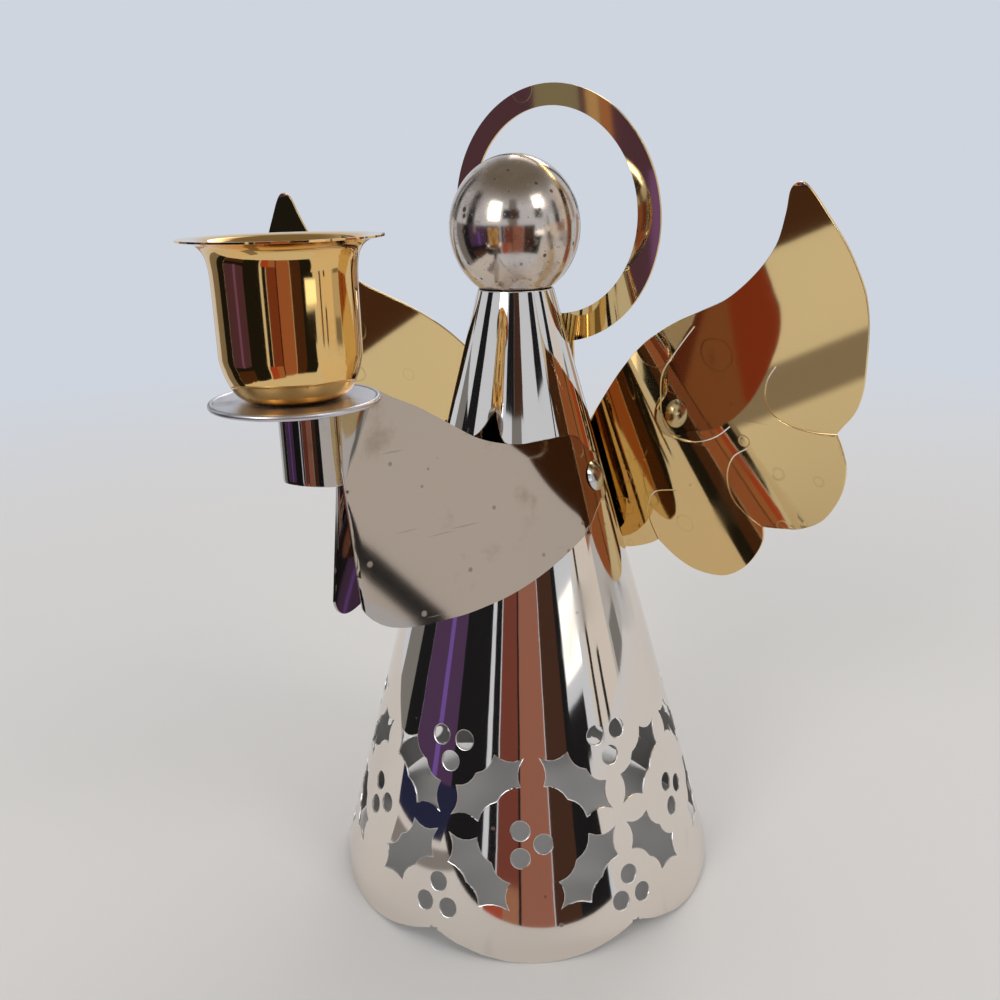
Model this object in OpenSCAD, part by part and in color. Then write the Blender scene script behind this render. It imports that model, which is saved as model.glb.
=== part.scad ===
// Angel candle holder: a sheet-metal angel that stands on its scalloped robe
// and holds one taper candle in a cup in front of it.
// Millimetres, +Z up, the angel looks towards -Y. The origin is the robe's axis
// on the standing surface.

/* [Robe] */
// Radius of the robe at its hem
robe_base_r = 47.5; // [44:0.5:51]
// Radius of the robe at its neck
robe_neck_r = 8.5; // [7.5:0.1:9.5]
// Height of the robe from the standing surface to the neck's edge
robe_height = 143.5; // [136:0.5:151]
// Thickness of the nickel-plated sheet of the robe and the arms
sheet = 0.5; // [0.4:0.05:0.6]
// Depth of the groove along the back seam of the robe
seam_depth = 0.15; // [0.1:0.05:0.2]
// Width of the groove along the back seam of the robe
seam_width = 0.4; // [0.3:0.1:0.8]

/* [Hem and piercing] */
// Number of scallops in the hem, and of holly wreaths above them
scallops = 6; // [6:1:8]
// Rise of the hem between two scallops
hem_rise = 5.2; // [4:0.1:6]
// Angle by which the pattern is turned from the front, towards the angel's left
hem_turn = 6; // [0:1:12]
// Height of the centre of the wreaths
wreath_z = 28.8; // [28:0.2:31]
// Half the height of a wreath
wreath_half_h = 16.7; // [15:0.1:17.5]
// Radius of a pierced berry
berry_r = 2.1; // [1.6:0.1:2.2]
// Distance of a berry from the middle of its group of three
berry_ring_r = 3.45; // [3.2:0.05:3.8]
// Height of the group of berries inside a wreath
wreath_berry_z = 26.3; // [25:0.1:28]
// Height of the group of berries above a valley of the hem
low_berry_z = 12.1; // [11.5:0.1:13]
// Height of the group of berries between the tops of two wreaths
high_berry_z = 46; // [44:0.5:50]

/* [Head] */
// Half the width of the head
head_r = 14.5; // [13.8:0.1:15.2]
// Half the height of the head, which is slightly taller than wide
head_rise = 15.6; // [14.5:0.1:16.5]
// Wall of the hollow head
head_wall = 0.8; // [0.6:0.1:1.2]
// Thickness of the plug in the neck
plug_h = 3; // [2.5:0.1:4]
// Radius of the threaded bush in the head
bush_r = 4; // [3.5:0.1:4.5]
// Height of the threaded bush in the head
bush_h = 6; // [5:0.5:8]

/* [Halo] */
// Outer radius of the halo
halo_r = 28.9; // [27:0.1:31]
// Width of the halo's flat ring
halo_band = 5.7; // [4.8:0.1:6.4]
// Rise of the halo's hole above the ring's centre, which leaves more metal at the stem
hole_rise = 1; // [0:0.1:1.5]
// Rise of the halo's centre above the head's centre
halo_rise = 1.6; // [0:0.1:4]
// Gap between the back of the head and the halo's plane
halo_gap = 1.2; // [0.8:0.1:2]
// Rise of the bend in the halo's stem above the wing's datum, where it leaves the robe's back
bend_rise = 5.2; // [4:0.05:8]
// Angle by which the halo is turned on its stem, towards the angel's right
halo_turn = 4; // [0:0.5:5]
// Thickness of the gold-plated sheet of the halo and the wings
gold_sheet = 0.6; // [0.4:0.05:0.7]
// Width of the halo's stem
stem_w = 10; // [8:0.5:11]

/* [Wings] */
// Reach of one wing from the middle fold to its outer edge
wing_reach = 78.8; // [70:0.2:84]
// Height of the wing's tip above the wing's datum on the robe's back
wing_up = 65.4; // [58:0.2:70]
// Angle by which each wing is swept forward
wing_sweep = 8.5; // [6:0.5:12]
// Height of the wing's datum on the robe's back
wing_z = 104; // [101:0.5:108]
// Width of the flat middle of the wings, between the two folds
wing_flat = 10; // [9:0.5:12]
// Width of the slits between the feathers
slit_w = 0.35; // [0.25:0.05:0.5]

/* [Arms] */
// Height of the top of the arms, which carries the drip pan
arms_top = 130.4; // [127:0.2:134]
// Drop from the top of the arms to the lowest edge of the sleeves
sleeve_drop = 48.6; // [44:0.2:52]
// Outer radius of the joined hands, a tube under the drip pan
hands_r = 5.2; // [5.1:0.05:5.6]
// Height of the joined hands at the back of the tube
hands_h = 16.3; // [14:0.1:19]
// Rise of the tube's lower edge towards the front
hands_rise = 2; // [1:0.2:3]
// Distance from the tube's back to the line where the two sleeves meet
hands_tail = 1.8; // [1.4:0.1:2.4]
// Gap between the two sleeves where they meet behind the hands
hands_gap = 0.3; // [0.2:0.05:0.5]
// Forward slope of the sleeves' front edge
sleeve_lean = 0.03; // [0:0.01:0.05]
// Outward slope of the sleeves' front edge
sleeve_flare = 0.14; // [0.1:0.01:0.18]
// Angle from the front of the rivet at the end of a sleeve
rivet_angle = 92; // [90:1:96]
// Radius of the round end of a sleeve about its rivet
sleeve_end_r = 5.6; // [5:0.1:6]

/* [Drip pan and cup] */
// Distance of the cup's axis in front of the robe's axis
cup_y = 69.8; // [68:0.2:74]
// Radius of the drip pan
pan_r = 14.9; // [13.5:0.1:16]
// Thickness of the drip pan
pan_t = 0.7; // [0.5:0.1:1]
// Radius of the rolled rim of the drip pan
pan_rim_r = 0.55; // [0.5:0.05:0.7]
// Inner radius of the candle cup
cup_bore_r = 11.6; // [11.2:0.1:12.2]
// Wall of the candle cup
cup_wall = 0.6; // [0.5:0.05:0.8]
// Radius of the cup's flared rim
cup_rim_r = 17.1; // [16:0.1:18]
// Radius of the cup's flat bottom
cup_foot_r = 8.2; // [7.5:0.1:9]
// Height of the cup
cup_h = 27; // [25:0.2:30]
// Height of the rounded bottom of the cup
cup_bowl_h = 6.2; // [5.5:0.1:7]

/* [Fasteners] */
// Radius of the screws of the head and the back
screw_r = 1.5; // [1.4:0.05:1.6]
// Radius of the screw heads
screw_head_r = 3; // [2.7:0.1:3.2]
// Height of the screw heads
screw_head_h = 1.8; // [1.5:0.1:2.2]
// Distance across the flats of the back nut
nut_flats = 5.5; // [5:0.1:6]
// Thickness of the back nut
nut_h = 2.4; // [2:0.1:3]
// Outer radius of the washers
washer_r = 3.6; // [3.4:0.1:4]
// Thickness of the washers
washer_t = 0.5; // [0.4:0.1:0.8]
// Radius of the cup screw's thread
cup_screw_r = 1; // [0.9:0.05:1.1]
// Distance across the flats of the cup nut
cup_nut_flats = 3.5; // [3.3:0.1:3.6]
// Thickness of the cup nut
cup_nut_h = 1.6; // [1.3:0.1:2]
// Radius of the rivets' domed heads
rivet_head_r = 3.45; // [3:0.05:3.7]
// Height of the rivets' domed heads
rivet_head_h = 1.3; // [1:0.1:1.6]
// Radius of the rivets' shanks
rivet_r = 1.4; // [1.2:0.1:1.6]

/* [Clearances] */
// Radial play of a turning fit on its screw
turn_play = 0.07; // [0.05:0.01:0.09]
// Gap between a turning piece and what it turns over
turn_gap = 0.3; // [0.25:0.05:0.4]
// Gap between pieces that lie on each other
lay_gap = 0.05; // [0.03:0.01:0.1]

/* [Hidden] */
$fn = 96;
// Overrun of every cutter past the faces that it cuts
over = 1;
// Length of a screw's thread past its nut
thread_end = 0.6;
// Straight steps in each curved stretch of an outline
steps = 4;
// Sides of a berry's hole, which is small
berry_sides = 24;

// Fall of the robe's radius per unit of height, and its slope from the vertical
fall = (robe_base_r - robe_neck_r) / robe_height;
slope = atan(fall);
function robe_r(z) = robe_base_r - fall * z;
// Thickness of the robe's sheet measured level
level_sheet = sheet / cos(slope);

// Height of the back screw, which holds the halo and the wings, below the wing's datum
back_drop_share = 0.17;
back_screw_z = wing_z - back_drop_share * wing_up;
// Height of the rivets at the sleeves' ends, below the top of the arms
rivet_drop_share = 0.578;
rivet_z = arms_top - rivet_drop_share * sleeve_drop;

// Points of a smooth curve through given points, with a number of steps for each stretch
function blend(a, b, c, d, t) =
    (2 * b + (c - a) * t + (2 * a - 5 * b + 4 * c - d) * t * t + (3 * b - a - 3 * c + d) * t * t * t) / 2;
function smooth(p) =
    let (last = len(p) - 1)
    [for (i = [0:last - 1], s = [0:steps - 1])
        blend(p[max(i - 1, 0)], p[i], p[i + 1], p[min(i + 2, last)], s / steps)];
// Points of an arc with its centre, radius and two angles
function arc(centre, r, from, to) =
    [for (s = [0:2 * steps]) centre + r * [cos(from + (to - from) * s / (2 * steps)),
                                           sin(from + (to - from) * s / (2 * steps))]];

// Holly piercing

mid_r = robe_r(wreath_z);
// A scallop's half width along the robe at the wreath's height, and the wreath's part of it
scallop_half = PI * mid_r / scallops;
wreath_share = 0.92;
wreath_half_w = wreath_share * scallop_half;
// Spikes of the upper and the lower leaf, as shares of the wreath's half width and half height
upper_leaf_shares = [[0.155, 0.60], [0.44, 0.40], [0.66, 0.125], [0.995, 0.14], [0.965, 0.52],
                     [0.71, 0.73], [0.475, 0.995], [0.12, 0.95]];
lower_leaf_shares = [[0.285, -1.0], [0.60, -0.99], [0.75, -0.71], [0.985, -0.495], [0.995, -0.12],
                     [0.66, -0.11], [0.485, -0.41], [0.275, -0.66]];
// Depth of the scoops between the spikes, as a share of the distance between them
scoop_share = 0.15;
// Angle of the leaves' middles from the wreath's middle, as shares of the wreath's half width
upper_mid_share = 0.56;
lower_mid_share = 0.65;
// Place of the berries beside the wreath's middle, as a share of its half width
berry_mid_share = -0.065;

function along_robe(u) = u / mid_r * 180 / PI;
// A point of the pattern, seen square on from the angle of the leaf's middle
function flattened(p, mid) =
    [robe_r(p.y) * sin(along_robe(p.x - mid)), p.y];
function scooped(p) =
    let (n = len(p))
    [for (i = [0:n - 1], s = [0:steps - 1])
        let (a = p[i], b = p[(i + 1) % n], t = s / steps, chord = b - a)
        a + chord * t + 4 * t * (1 - t) * scoop_share * [-chord.y, chord.x]];
function leaf(shares, mid) =
    [for (p = scooped([for (q = shares) [q.x * wreath_half_w, wreath_z + q.y * wreath_half_h]]))
        flattened(p, mid)];

// Cuts through the robe's wall at an angle, from just inside it where the cut ends at half_w and top_z
module through_robe(angle, half_w, top_z) {
    inside = robe_r(top_z) - level_sheet;
    start = sqrt(inside * inside - half_w * half_w) - over;
    rotate([0, 0, angle])
        rotate([90, 0, 0])
            translate([0, 0, start])
                linear_extrude(robe_base_r + over - start)
                    children();
}

module leaf_cut(shares, mid_share, side) {
    mid = mid_share * wreath_half_w;
    through_robe(side * along_robe(mid), wreath_half_w / 2, wreath_z + wreath_half_h)
        mirror([1 - side, 0])
            polygon(leaf(shares, mid));
}

module berries(angle, z, point) {
    for (i = [0:2]) {
        turn = point + i * 120;
        through_robe(angle + along_robe(berry_ring_r * cos(turn)) * mid_r / robe_r(z),
                     berry_r, z + 2 * berry_ring_r)
            translate([0, z + berry_ring_r * sin(turn)])
                circle(berry_r, $fn = berry_sides);
    }
}

module hem_cut() {
    half_w = robe_base_r * sin(180 / scallops);
    hem_r = (half_w * half_w + hem_rise * hem_rise) / (2 * hem_rise);
    half_angle = asin(half_w / hem_r);
    through_robe(0, half_w, hem_rise)
        polygon(concat([[half_w + over, -over], [-half_w - over, -over]],
                       arc([0, hem_r], hem_r, -90 - half_angle, -90 + half_angle)));
}

module piercing() {
    for (i = [0:scallops - 1]) {
        rotate([0, 0, hem_turn + (i + 0.5) * 360 / scallops]) {
            hem_cut();
            for (side = [-1, 1]) {
                leaf_cut(upper_leaf_shares, upper_mid_share, side);
                leaf_cut(lower_leaf_shares, lower_mid_share, side);
            }
            berries(along_robe(berry_mid_share * wreath_half_w), wreath_berry_z, 0);
        }
        rotate([0, 0, hem_turn + i * 360 / scallops]) {
            berries(0, low_berry_z, 90);
            berries(0, high_berry_z, -90);
        }
    }
}

// Places on the robe: local X runs level, local Y points out of the sheet, local Z up the robe
module on_robe(angle, z, off = 0) {
    rotate([0, 0, angle - 180])
        translate([0, robe_r(z), z])
            rotate([slope, 0, 0])
                translate([0, off, 0])
                    children();
}
// A round piece that stands on the robe's sheet, drawn upright
module out_of_robe(angle, z, off = 0) {
    on_robe(angle, z, off)
        rotate([-90, 0, 0])
            children();
}

module robe() {
    color("silver")
        difference() {
            rotate_extrude()
                polygon([[robe_base_r - level_sheet, 0], [robe_base_r, 0],
                         [robe_neck_r, robe_height], [robe_neck_r - level_sheet, robe_height]]);
            piercing();
            on_robe(180, 0)
                translate([-seam_width / 2, -seam_depth, -over])
                    cube([seam_width, over, robe_height / cos(slope) + 2 * over]);
            out_of_robe(180, back_screw_z, -over)
                cylinder(r = screw_r + lay_gap, h = 2 * over);
            for (side = [-1, 1])
                out_of_robe(side * rivet_angle, rivet_z, -over)
                    cylinder(r = rivet_r + lay_gap, h = 2 * over);
        }
}

// Head and neck

// The head rests in the neck's edge, just clear of it so that it turns
neck_share = (robe_neck_r - level_sheet / 2) / head_r;
head_z = robe_height + turn_gap + head_rise * sqrt(1 - neck_share * neck_share);
head_low = head_z - head_rise;
plug_top = head_low - turn_gap - head_wall;
plug_low = plug_top - plug_h;
head_steps = 48;

function egg(r, rise, from, to) =
    [for (s = [0:head_steps])
        let (a = from + (to - from) * s / head_steps)
        [r * cos(a), head_z + rise * sin(a)]];

module head() {
    // Angles at which the outer and the inner wall reach the bush
    hole = bush_r + lay_gap;
    outer_low = -acos(hole / head_r);
    inner_low = -acos(hole / (head_r - head_wall));
    color("silver")
        rotate_extrude()
            polygon(concat(egg(head_r, head_rise, outer_low, 90),
                           egg(head_r - head_wall, head_rise - head_wall, 90, inner_low)));
}

module head_bush() {
    color("darkkhaki")
        difference() {
            translate([0, 0, head_low])
                cylinder(r = bush_r, h = bush_h);
            translate([0, 0, head_low - over])
                cylinder(r = screw_r + lay_gap, h = bush_h + 2 * over);
        }
}

module neck_plug() {
    top_r = robe_r(plug_top) - level_sheet - lay_gap;
    low_r = robe_r(plug_low) - level_sheet - lay_gap;
    color("darkkhaki")
        difference() {
            rotate_extrude()
                polygon([[0, plug_low], [low_r, plug_low], [top_r, plug_top], [0, plug_top]]);
            translate([0, 0, plug_low - over])
                cylinder(r = screw_r + turn_play, h = plug_h + 2 * over);
        }
}

module head_washer() {
    color("silver")
        translate([0, 0, plug_low - turn_gap - washer_t])
            ring(washer_r, screw_r + lay_gap, washer_t);
}

module head_screw() {
    head_top = plug_low - turn_gap - washer_t - lay_gap;
    color("silver")
        translate([0, 0, head_top - screw_head_h])
            slotted_screw(head_low + bush_h - head_top);
}

// A flat ring, drawn upward from its lower face
module ring(outer_r, inner_r, height) {
    difference() {
        cylinder(r = outer_r, h = height);
        translate([0, 0, -over])
            cylinder(r = inner_r, h = height + 2 * over);
    }
}

// A screw that stands on its slotted head
module slotted_screw(length) {
    slot_w = screw_head_r / 4;
    slot_depth = screw_head_h / 2;
    difference() {
        union() {
            cylinder(r = screw_head_r, h = screw_head_h);
            cylinder(r = screw_r, h = screw_head_h + length);
        }
        translate([-screw_head_r - over, -slot_w / 2, -over])
            cube([2 * (screw_head_r + over), slot_w, over + slot_depth]);
    }
}

// Halo: a flat ring on a strip that bends down along the robe's back

// Place of the ring's centre, above and behind the head's centre
halo_z = head_z + halo_rise;
halo_y = head_r + halo_gap;

// Middle of the stem's thickness above the robe's sheet
stem_off = lay_gap + gold_sheet / 2;
// The stem bends above the wings, and the ring's top leans forward so that it clears the head
bend_z = wing_z + bend_rise;
bend_y = robe_r(bend_z) + stem_off / cos(slope);
halo_lean = atan((bend_y - halo_y) / (halo_z - bend_z));
stem_end_z = back_screw_z - stem_w / 2;

module halo() {
    color("goldenrod")
        difference() {
            union() {
                translate([0, halo_y, halo_z])
                    rotate([90 + halo_lean, 0, -halo_turn])
                        linear_extrude(gold_sheet, center = true)
                            halo_outline();
                on_robe(180, stem_end_z, lay_gap)
                    translate([-stem_w / 2, 0, 0])
                        cube([stem_w, gold_sheet, (bend_z - stem_end_z) / cos(slope)]);
            }
            out_of_robe(180, back_screw_z, -over)
                cylinder(r = screw_r + lay_gap, h = 2 * over + gold_sheet);
        }
}

module halo_outline() {
    reach = (halo_z - bend_z) / cos(halo_lean);
    difference() {
        circle(halo_r);
        translate([0, hole_rise])
            circle(halo_r - halo_band);
    }
    translate([-stem_w / 2, -reach])
        square([stem_w, reach - halo_r + halo_band / 2]);
}

// Wings: one sheet, folded along two lines beside the middle

// Inner face of the wings above the robe's sheet
wing_off = 2 * lay_gap + gold_sheet;
// Outline of the left wing, as shares of its reach and of its rise above the datum: the upper
// edge from the middle to the tip, then the four feathers from the tip down
wing_top_shares = [[0.064, 0.02], [0.113, 0.099], [0.188, 0.223], [0.264, 0.339], [0.352, 0.448],
                   [0.452, 0.531], [0.543, 0.587], [0.629, 0.641], [0.713, 0.729], [0.77, 0.818],
                   [0.798, 0.91], [0.813, 0.98]];
feather_1_shares = [[0.838, 1], [0.863, 0.98], [0.905, 0.908], [0.944, 0.836], [0.971, 0.768],
                    [0.992, 0.694], [1, 0.604], [0.996, 0.5], [0.987, 0.399], [0.967, 0.324],
                    [0.935, 0.269], [0.918, 0.24]];
feather_2_shares = [[0.918, 0.24], [0.933, 0.19], [0.943, 0.125], [0.935, 0.05], [0.912, -0.02],
                    [0.873, -0.089], [0.813, -0.138], [0.756, -0.157], [0.697, -0.17]];
feather_3_shares = [[0.697, -0.17], [0.694, -0.228], [0.669, -0.295], [0.629, -0.362], [0.57, -0.42],
                    [0.509, -0.44], [0.442, -0.436], [0.382, -0.404], [0.327, -0.352]];
feather_4_shares = [[0.327, -0.352], [0.291, -0.382], [0.232, -0.417], [0.179, -0.437],
                    [0.12, -0.44], [0.064, -0.43]];
// Slits that set the feathers apart, from inside the wing to the notch where each ends
slit_shares = [
    [[0.524, 0.534], [0.46, 0.44], [0.406, 0.347], [0.392, 0.25], [0.39, 0.19], [0.405, 0.135],
     [0.445, 0.104], [0.51, 0.113], [0.567, 0.147], [0.612, 0.195]],
    [[0.758, 0.437], [0.732, 0.385], [0.725, 0.324], [0.742, 0.272], [0.79, 0.242],
     [0.854, 0.232], [0.92, 0.24]],
    [[0.662, 0.125], [0.617, 0.083], [0.594, 0.014], [0.599, -0.064], [0.632, -0.122], [0.699, -0.17]],
    [[0.411, -0.109], [0.332, -0.142], [0.303, -0.216], [0.305, -0.278], [0.329, -0.356]]];

function on_wing(shares) = [for (p = shares) [p.x * wing_reach, p.y * wing_up]];
// Closed outline of a thin slot along a curve
function slot(p) =
    let (n = len(p) - 1,
         side = [for (i = [0:n])
             let (d = p[min(i + 1, n)] - p[max(i - 1, 0)])
             [-d.y, d.x] / norm(d) * slit_w / 2])
    concat([for (i = [0:n]) p[i] + side[i]], [for (i = [n:-1:0]) p[i] - side[i]]);

// Heights of the middle's lower and upper end
middle_low = feather_4_shares[len(feather_4_shares) - 1].y * wing_up;
middle_top = wing_top_shares[0].y * wing_up;
// Each half starts inside the flat middle, by half the sheet's thickness on three sides
half_in = gold_sheet / 2;
half_start = wing_flat / 2 - half_in;

module wing_outline() {
    difference() {
        polygon(concat(smooth(on_wing(concat(wing_top_shares, feather_1_shares))),
                       smooth(on_wing(feather_2_shares)),
                       smooth(on_wing(feather_3_shares)),
                       smooth(on_wing(feather_4_shares)),
                       [[half_start, middle_low + half_in], [half_start, middle_top - half_in]]));
        for (s = slit_shares)
            polygon(slot(smooth(on_wing(s))));
    }
}

module wings() {
    color("gold")
        difference() {
            on_robe(180, wing_z, wing_off) {
                translate([-wing_flat / 2, 0, middle_low])
                    cube([wing_flat, gold_sheet, middle_top - middle_low]);
                for (side = [0, 1])
                    mirror([side, 0, 0])
                        translate([wing_flat / 2, 0, 0])
                            rotate([0, 0, -wing_sweep])
                                translate([-wing_flat / 2, gold_sheet, 0])
                                    rotate([90, 0, 0])
                                        linear_extrude(gold_sheet)
                                            wing_outline();
            }
            out_of_robe(180, back_screw_z, wing_off - over)
                cylinder(r = screw_r + lay_gap, h = 2 * over + gold_sheet);
        }
}

// Back screw: its head is behind the wings, its nut inside the robe

stack_t = wing_off + gold_sheet;
// A flat washer inside the round robe touches at its sides only
inner_r = robe_r(back_screw_z) - level_sheet;
washer_lift = inner_r - sqrt(inner_r * inner_r - washer_r * washer_r) + lay_gap;
nut_off = -sheet - washer_lift;

module back_screw() {
    length = stack_t + 2 * lay_gap + sheet + washer_lift + washer_t + nut_h
        + thread_end;
    color("silver")
        out_of_robe(180, back_screw_z, stack_t + lay_gap + screw_head_h)
            mirror([0, 0, 1])
                slotted_screw(length);
}

module back_washer() {
    color("silver")
        out_of_robe(180, back_screw_z, nut_off - washer_t)
            ring(washer_r, screw_r + lay_gap, washer_t);
}

module back_nut() {
    color("silver")
        out_of_robe(180, back_screw_z, nut_off - washer_t - lay_gap - nut_h)
            nut(nut_flats, screw_r, nut_h);
}

module nut(flats, thread_r, height) {
    difference() {
        cylinder(r = flats / 2 / cos(30), h = height, $fn = 6);
        translate([0, 0, -over])
            cylinder(r = thread_r + lay_gap, h = height + 2 * over);
    }
}

// Arms: one strip of sheet, bent round the hands at the front and out into two sleeves

hands_mid_r = hands_r - sheet / 2;
// The cup nut fits inside the hands, so the tube stands behind the cup's axis by half its radius
hands_back_share = 0.5;
hands_y = -cup_y + hands_back_share * hands_r;
pinch_y = hands_y + hands_r + hands_tail;
pinch_x = (sheet + hands_gap) / 2;
tongue_w = 1.2 * hands_r;
arm_off = (lay_gap + sheet / 2) / cos(slope);
hands_low = arms_top - hands_h;
// Edges of a sleeve from the hands to the robe, as shares of the way and of the sleeve's drop
sleeve_top_shares = [[0, 0], [0.13, 0], [0.24, 0.066], [0.343, 0.128], [0.467, 0.222], [0.563, 0.292],
                     [0.655, 0.333], [0.749, 0.358], [0.842, 0.364], [1, 0.366]];
sleeve_low_shares = [[0, 0.82], [0.006, 0.86], [0.04, 0.915], [0.09, 0.955], [0.154, 0.98],
                     [0.23, 0.993], [0.32, 0.997], [0.41, 1], [0.5, 0.993], [0.6, 0.98], [0.7, 0.955],
                     [0.8, 0.92], [0.89, 0.88], [1, 0.82]];
// Ways along the sleeve at which its section is drawn, closer together at the front edge
sleeve_ways = concat([0.006, 0.02, 0.04, 0.065], [for (i = [2:20]) i / 20]);
// Curves of the two edges from the sleeve's end at the robe, 1, to the round tab at the rivet, 0
tab_top_shares = [[0, 1], [0.35, 0.857], [0.7, 0.452], [1, 0]];
tab_low_shares = [[0, 1], [0.35, 0.615], [0.7, 0.23], [1, 0]];
function sleeve_top(way) = arms_top - sleeve_drop * lookup(way, sleeve_top_shares);
function sleeve_low(way) = arms_top - sleeve_drop * lookup(way, sleeve_low_shares);

// A sleeve's front edge, and the angle at which the sleeve leaves the robe's surface towards it
function sleeve_front(z) = [sleeve_flare, -sleeve_lean] * (hands_low - z) + [0, pinch_y];
function meet_angle(z) =
    let (front = sleeve_front(z))
    atan2(front.x, -front.y) + acos((robe_r(z) + arm_off) / norm(front));
// Middle of the sheet on the ruled surface between the front edge and the robe
function sleeve_point(way, z) =
    let (front = sleeve_front(z),
         back_r = robe_r(z) + arm_off,
         meet = meet_angle(z),
         p = front + ([back_r * sin(meet), -back_r * cos(meet)] - front) * way)
    [max(p.x, pinch_x), p.y, z];
// Height of the crease above which the two sleeves lie against each other
function crease_z(way) =
    let (meet = meet_angle(rivet_z),
         start = (1 - way) * sleeve_flare * hands_low + way * (robe_base_r + arm_off) * sin(meet),
         drop = (1 - way) * sleeve_flare + way * fall * sin(meet))
    (start - pinch_x) / drop;
function between(low, z, high) = min(max(z, low + (high - low) / 4), high - (high - low) / 4);

function hands_column(angle) =
    let (low = hands_low + hands_rise * (1 + cos(angle)) / 2)
    [for (z = [low, (low + arms_top) / 2, arms_top])
        [hands_mid_r * sin(angle), hands_y - hands_mid_r * cos(angle), z]];
function pinch_column() =
    [for (z = [hands_low, (hands_low + arms_top) / 2, arms_top]) [pinch_x, pinch_y - hands_tail / 8, z]];
function sleeve_column(way) =
    let (low = sleeve_low(way), top = sleeve_top(way))
    [for (z = [low, between(low, crease_z(way), top), top]) sleeve_point(way, z)];
function robe_point(angle, z) =
    (robe_r(z) + arm_off) * [sin(angle), -cos(angle), 0] + [0, 0, z];
// The tab narrows towards the rivet and ends in a half circle round it
function tab_column(way) =
    let (top = rivet_z + sleeve_end_r
             + (sleeve_top(1) - rivet_z - sleeve_end_r) * lookup(way, tab_top_shares),
         low = rivet_z - sleeve_end_r
             + (sleeve_low(1) - rivet_z + sleeve_end_r) * lookup(way, tab_low_shares))
    [for (z = [low, (low + top) / 2, top])
        robe_point(meet_angle(z) * (1 - way) + rivet_angle * way, z)];
function end_column(turn) =
    let (half = sleeve_end_r * cos(turn) + lay_gap)
    [for (z = [rivet_z - half, rivet_z, rivet_z + half])
        robe_point(rivet_angle + tab_angle * sin(turn), z)];

tab_angle = sleeve_end_r / robe_r(rivet_z) * 180 / PI;
left_columns = concat(
    [for (a = [20:20:160]) hands_column(a)],
    [pinch_column()],
    [for (w = sleeve_ways) sleeve_column(w)],
    [for (i = [1:6]) tab_column(i / 6)],
    [for (i = [1:8]) end_column(90 * i / 8)]);
arm_columns = concat(
    [for (i = [len(left_columns) - 1:-1:0]) [for (p = left_columns[i]) [-p.x, p.y, p.z]]],
    [hands_column(0)], left_columns);

// A sheet of even thickness about a grid of points, given as columns
function sheet_side(grid, off) =
    let (n = len(grid) - 1, m = len(grid[0]) - 1)
    [for (i = [0:n], j = [0:m])
        let (along = grid[min(i + 1, n)][j] - grid[max(i - 1, 0)][j],
             up = grid[i][m] - grid[i][0],
             out = cross(along, up))
        grid[i][j] + off * out / norm(out)];
function quad(a, b, c, d) = [[a, b, c], [a, c, d]];
function sheet_faces(n, m) =
    let (back = n * m)
    concat(
        [for (i = [0:n - 2], j = [0:m - 2])
            each quad(i * m + j, i * m + j + 1, (i + 1) * m + j + 1, (i + 1) * m + j)],
        [for (i = [0:n - 2], j = [0:m - 2])
            each quad(back + i * m + j, back + (i + 1) * m + j,
                      back + (i + 1) * m + j + 1, back + i * m + j + 1)],
        [for (i = [0:n - 2])
            each quad(i * m, (i + 1) * m, back + (i + 1) * m, back + i * m)],
        [for (i = [0:n - 2])
            each quad(i * m + m - 1, back + i * m + m - 1,
                      back + (i + 1) * m + m - 1, (i + 1) * m + m - 1)],
        [for (j = [0:m - 2]) each quad(j, back + j, back + j + 1, j + 1)],
        [for (j = [0:m - 2])
            let (k = (n - 1) * m + j)
            each quad(k, k + 1, back + k + 1, back + k)]);

module bent_sheet(grid, thickness) {
    polyhedron(points = concat(sheet_side(grid, thickness / 2), sheet_side(grid, -thickness / 2)),
               faces = sheet_faces(len(grid), len(grid[0])));
}

module arms() {
    color("silver")
        difference() {
            union() {
                bent_sheet(arm_columns, sheet);
                // Tongue at the front of the tube, folded in under the drip pan
                intersection() {
                    translate([0, hands_y, arms_top - sheet])
                        cylinder(r = hands_mid_r, h = sheet);
                    translate([-tongue_w / 2, hands_y - hands_r, arms_top - sheet - over])
                        cube([tongue_w, hands_r, sheet + 2 * over]);
                }
            }
            translate([0, -cup_y, arms_top - sheet - over])
                cylinder(r = cup_screw_r + lay_gap, h = sheet + 2 * over);
            for (side = [-1, 1])
                out_of_robe(side * rivet_angle, rivet_z, -over)
                    cylinder(r = rivet_r + lay_gap, h = 3 * over);
        }
}

// The rivets' inner heads are flat buttons, which touch the round robe at their sides only
rivet_button_r = 1.6 * rivet_r;
rivet_inner_r = robe_r(rivet_z) - level_sheet;
rivet_lift = rivet_inner_r - sqrt(rivet_inner_r * rivet_inner_r - rivet_button_r * rivet_button_r)
    + lay_gap;

module arm_rivets() {
    // The dome is part of a ball
    dome_r = (rivet_head_r * rivet_head_r + rivet_head_h * rivet_head_h) / (2 * rivet_head_h);
    out_off = 2 * lay_gap + sheet;
    color("silver")
        for (side = [-1, 1])
            out_of_robe(side * rivet_angle, rivet_z) {
                translate([0, 0, out_off])
                    intersection() {
                        translate([0, 0, rivet_head_h - dome_r])
                            sphere(dome_r);
                        cylinder(r = rivet_head_r + over, h = rivet_head_h + over);
                    }
                translate([0, 0, -sheet - rivet_lift - rivet_head_h / 4])
                    cylinder(r = rivet_r, h = sheet + rivet_lift + out_off + rivet_head_h / 2);
                translate([0, 0, -sheet - rivet_lift - rivet_head_h / 2])
                    cylinder(r = rivet_button_r, h = rivet_head_h / 2);
            }
}

// Drip pan and candle cup

pan_low = arms_top + lay_gap;
pan_top = pan_low + pan_t;
cup_low = pan_top + turn_gap;
shoulder_r = 1.5 * cup_screw_r;
shoulder_h = 2 * turn_gap + cup_wall;

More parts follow.
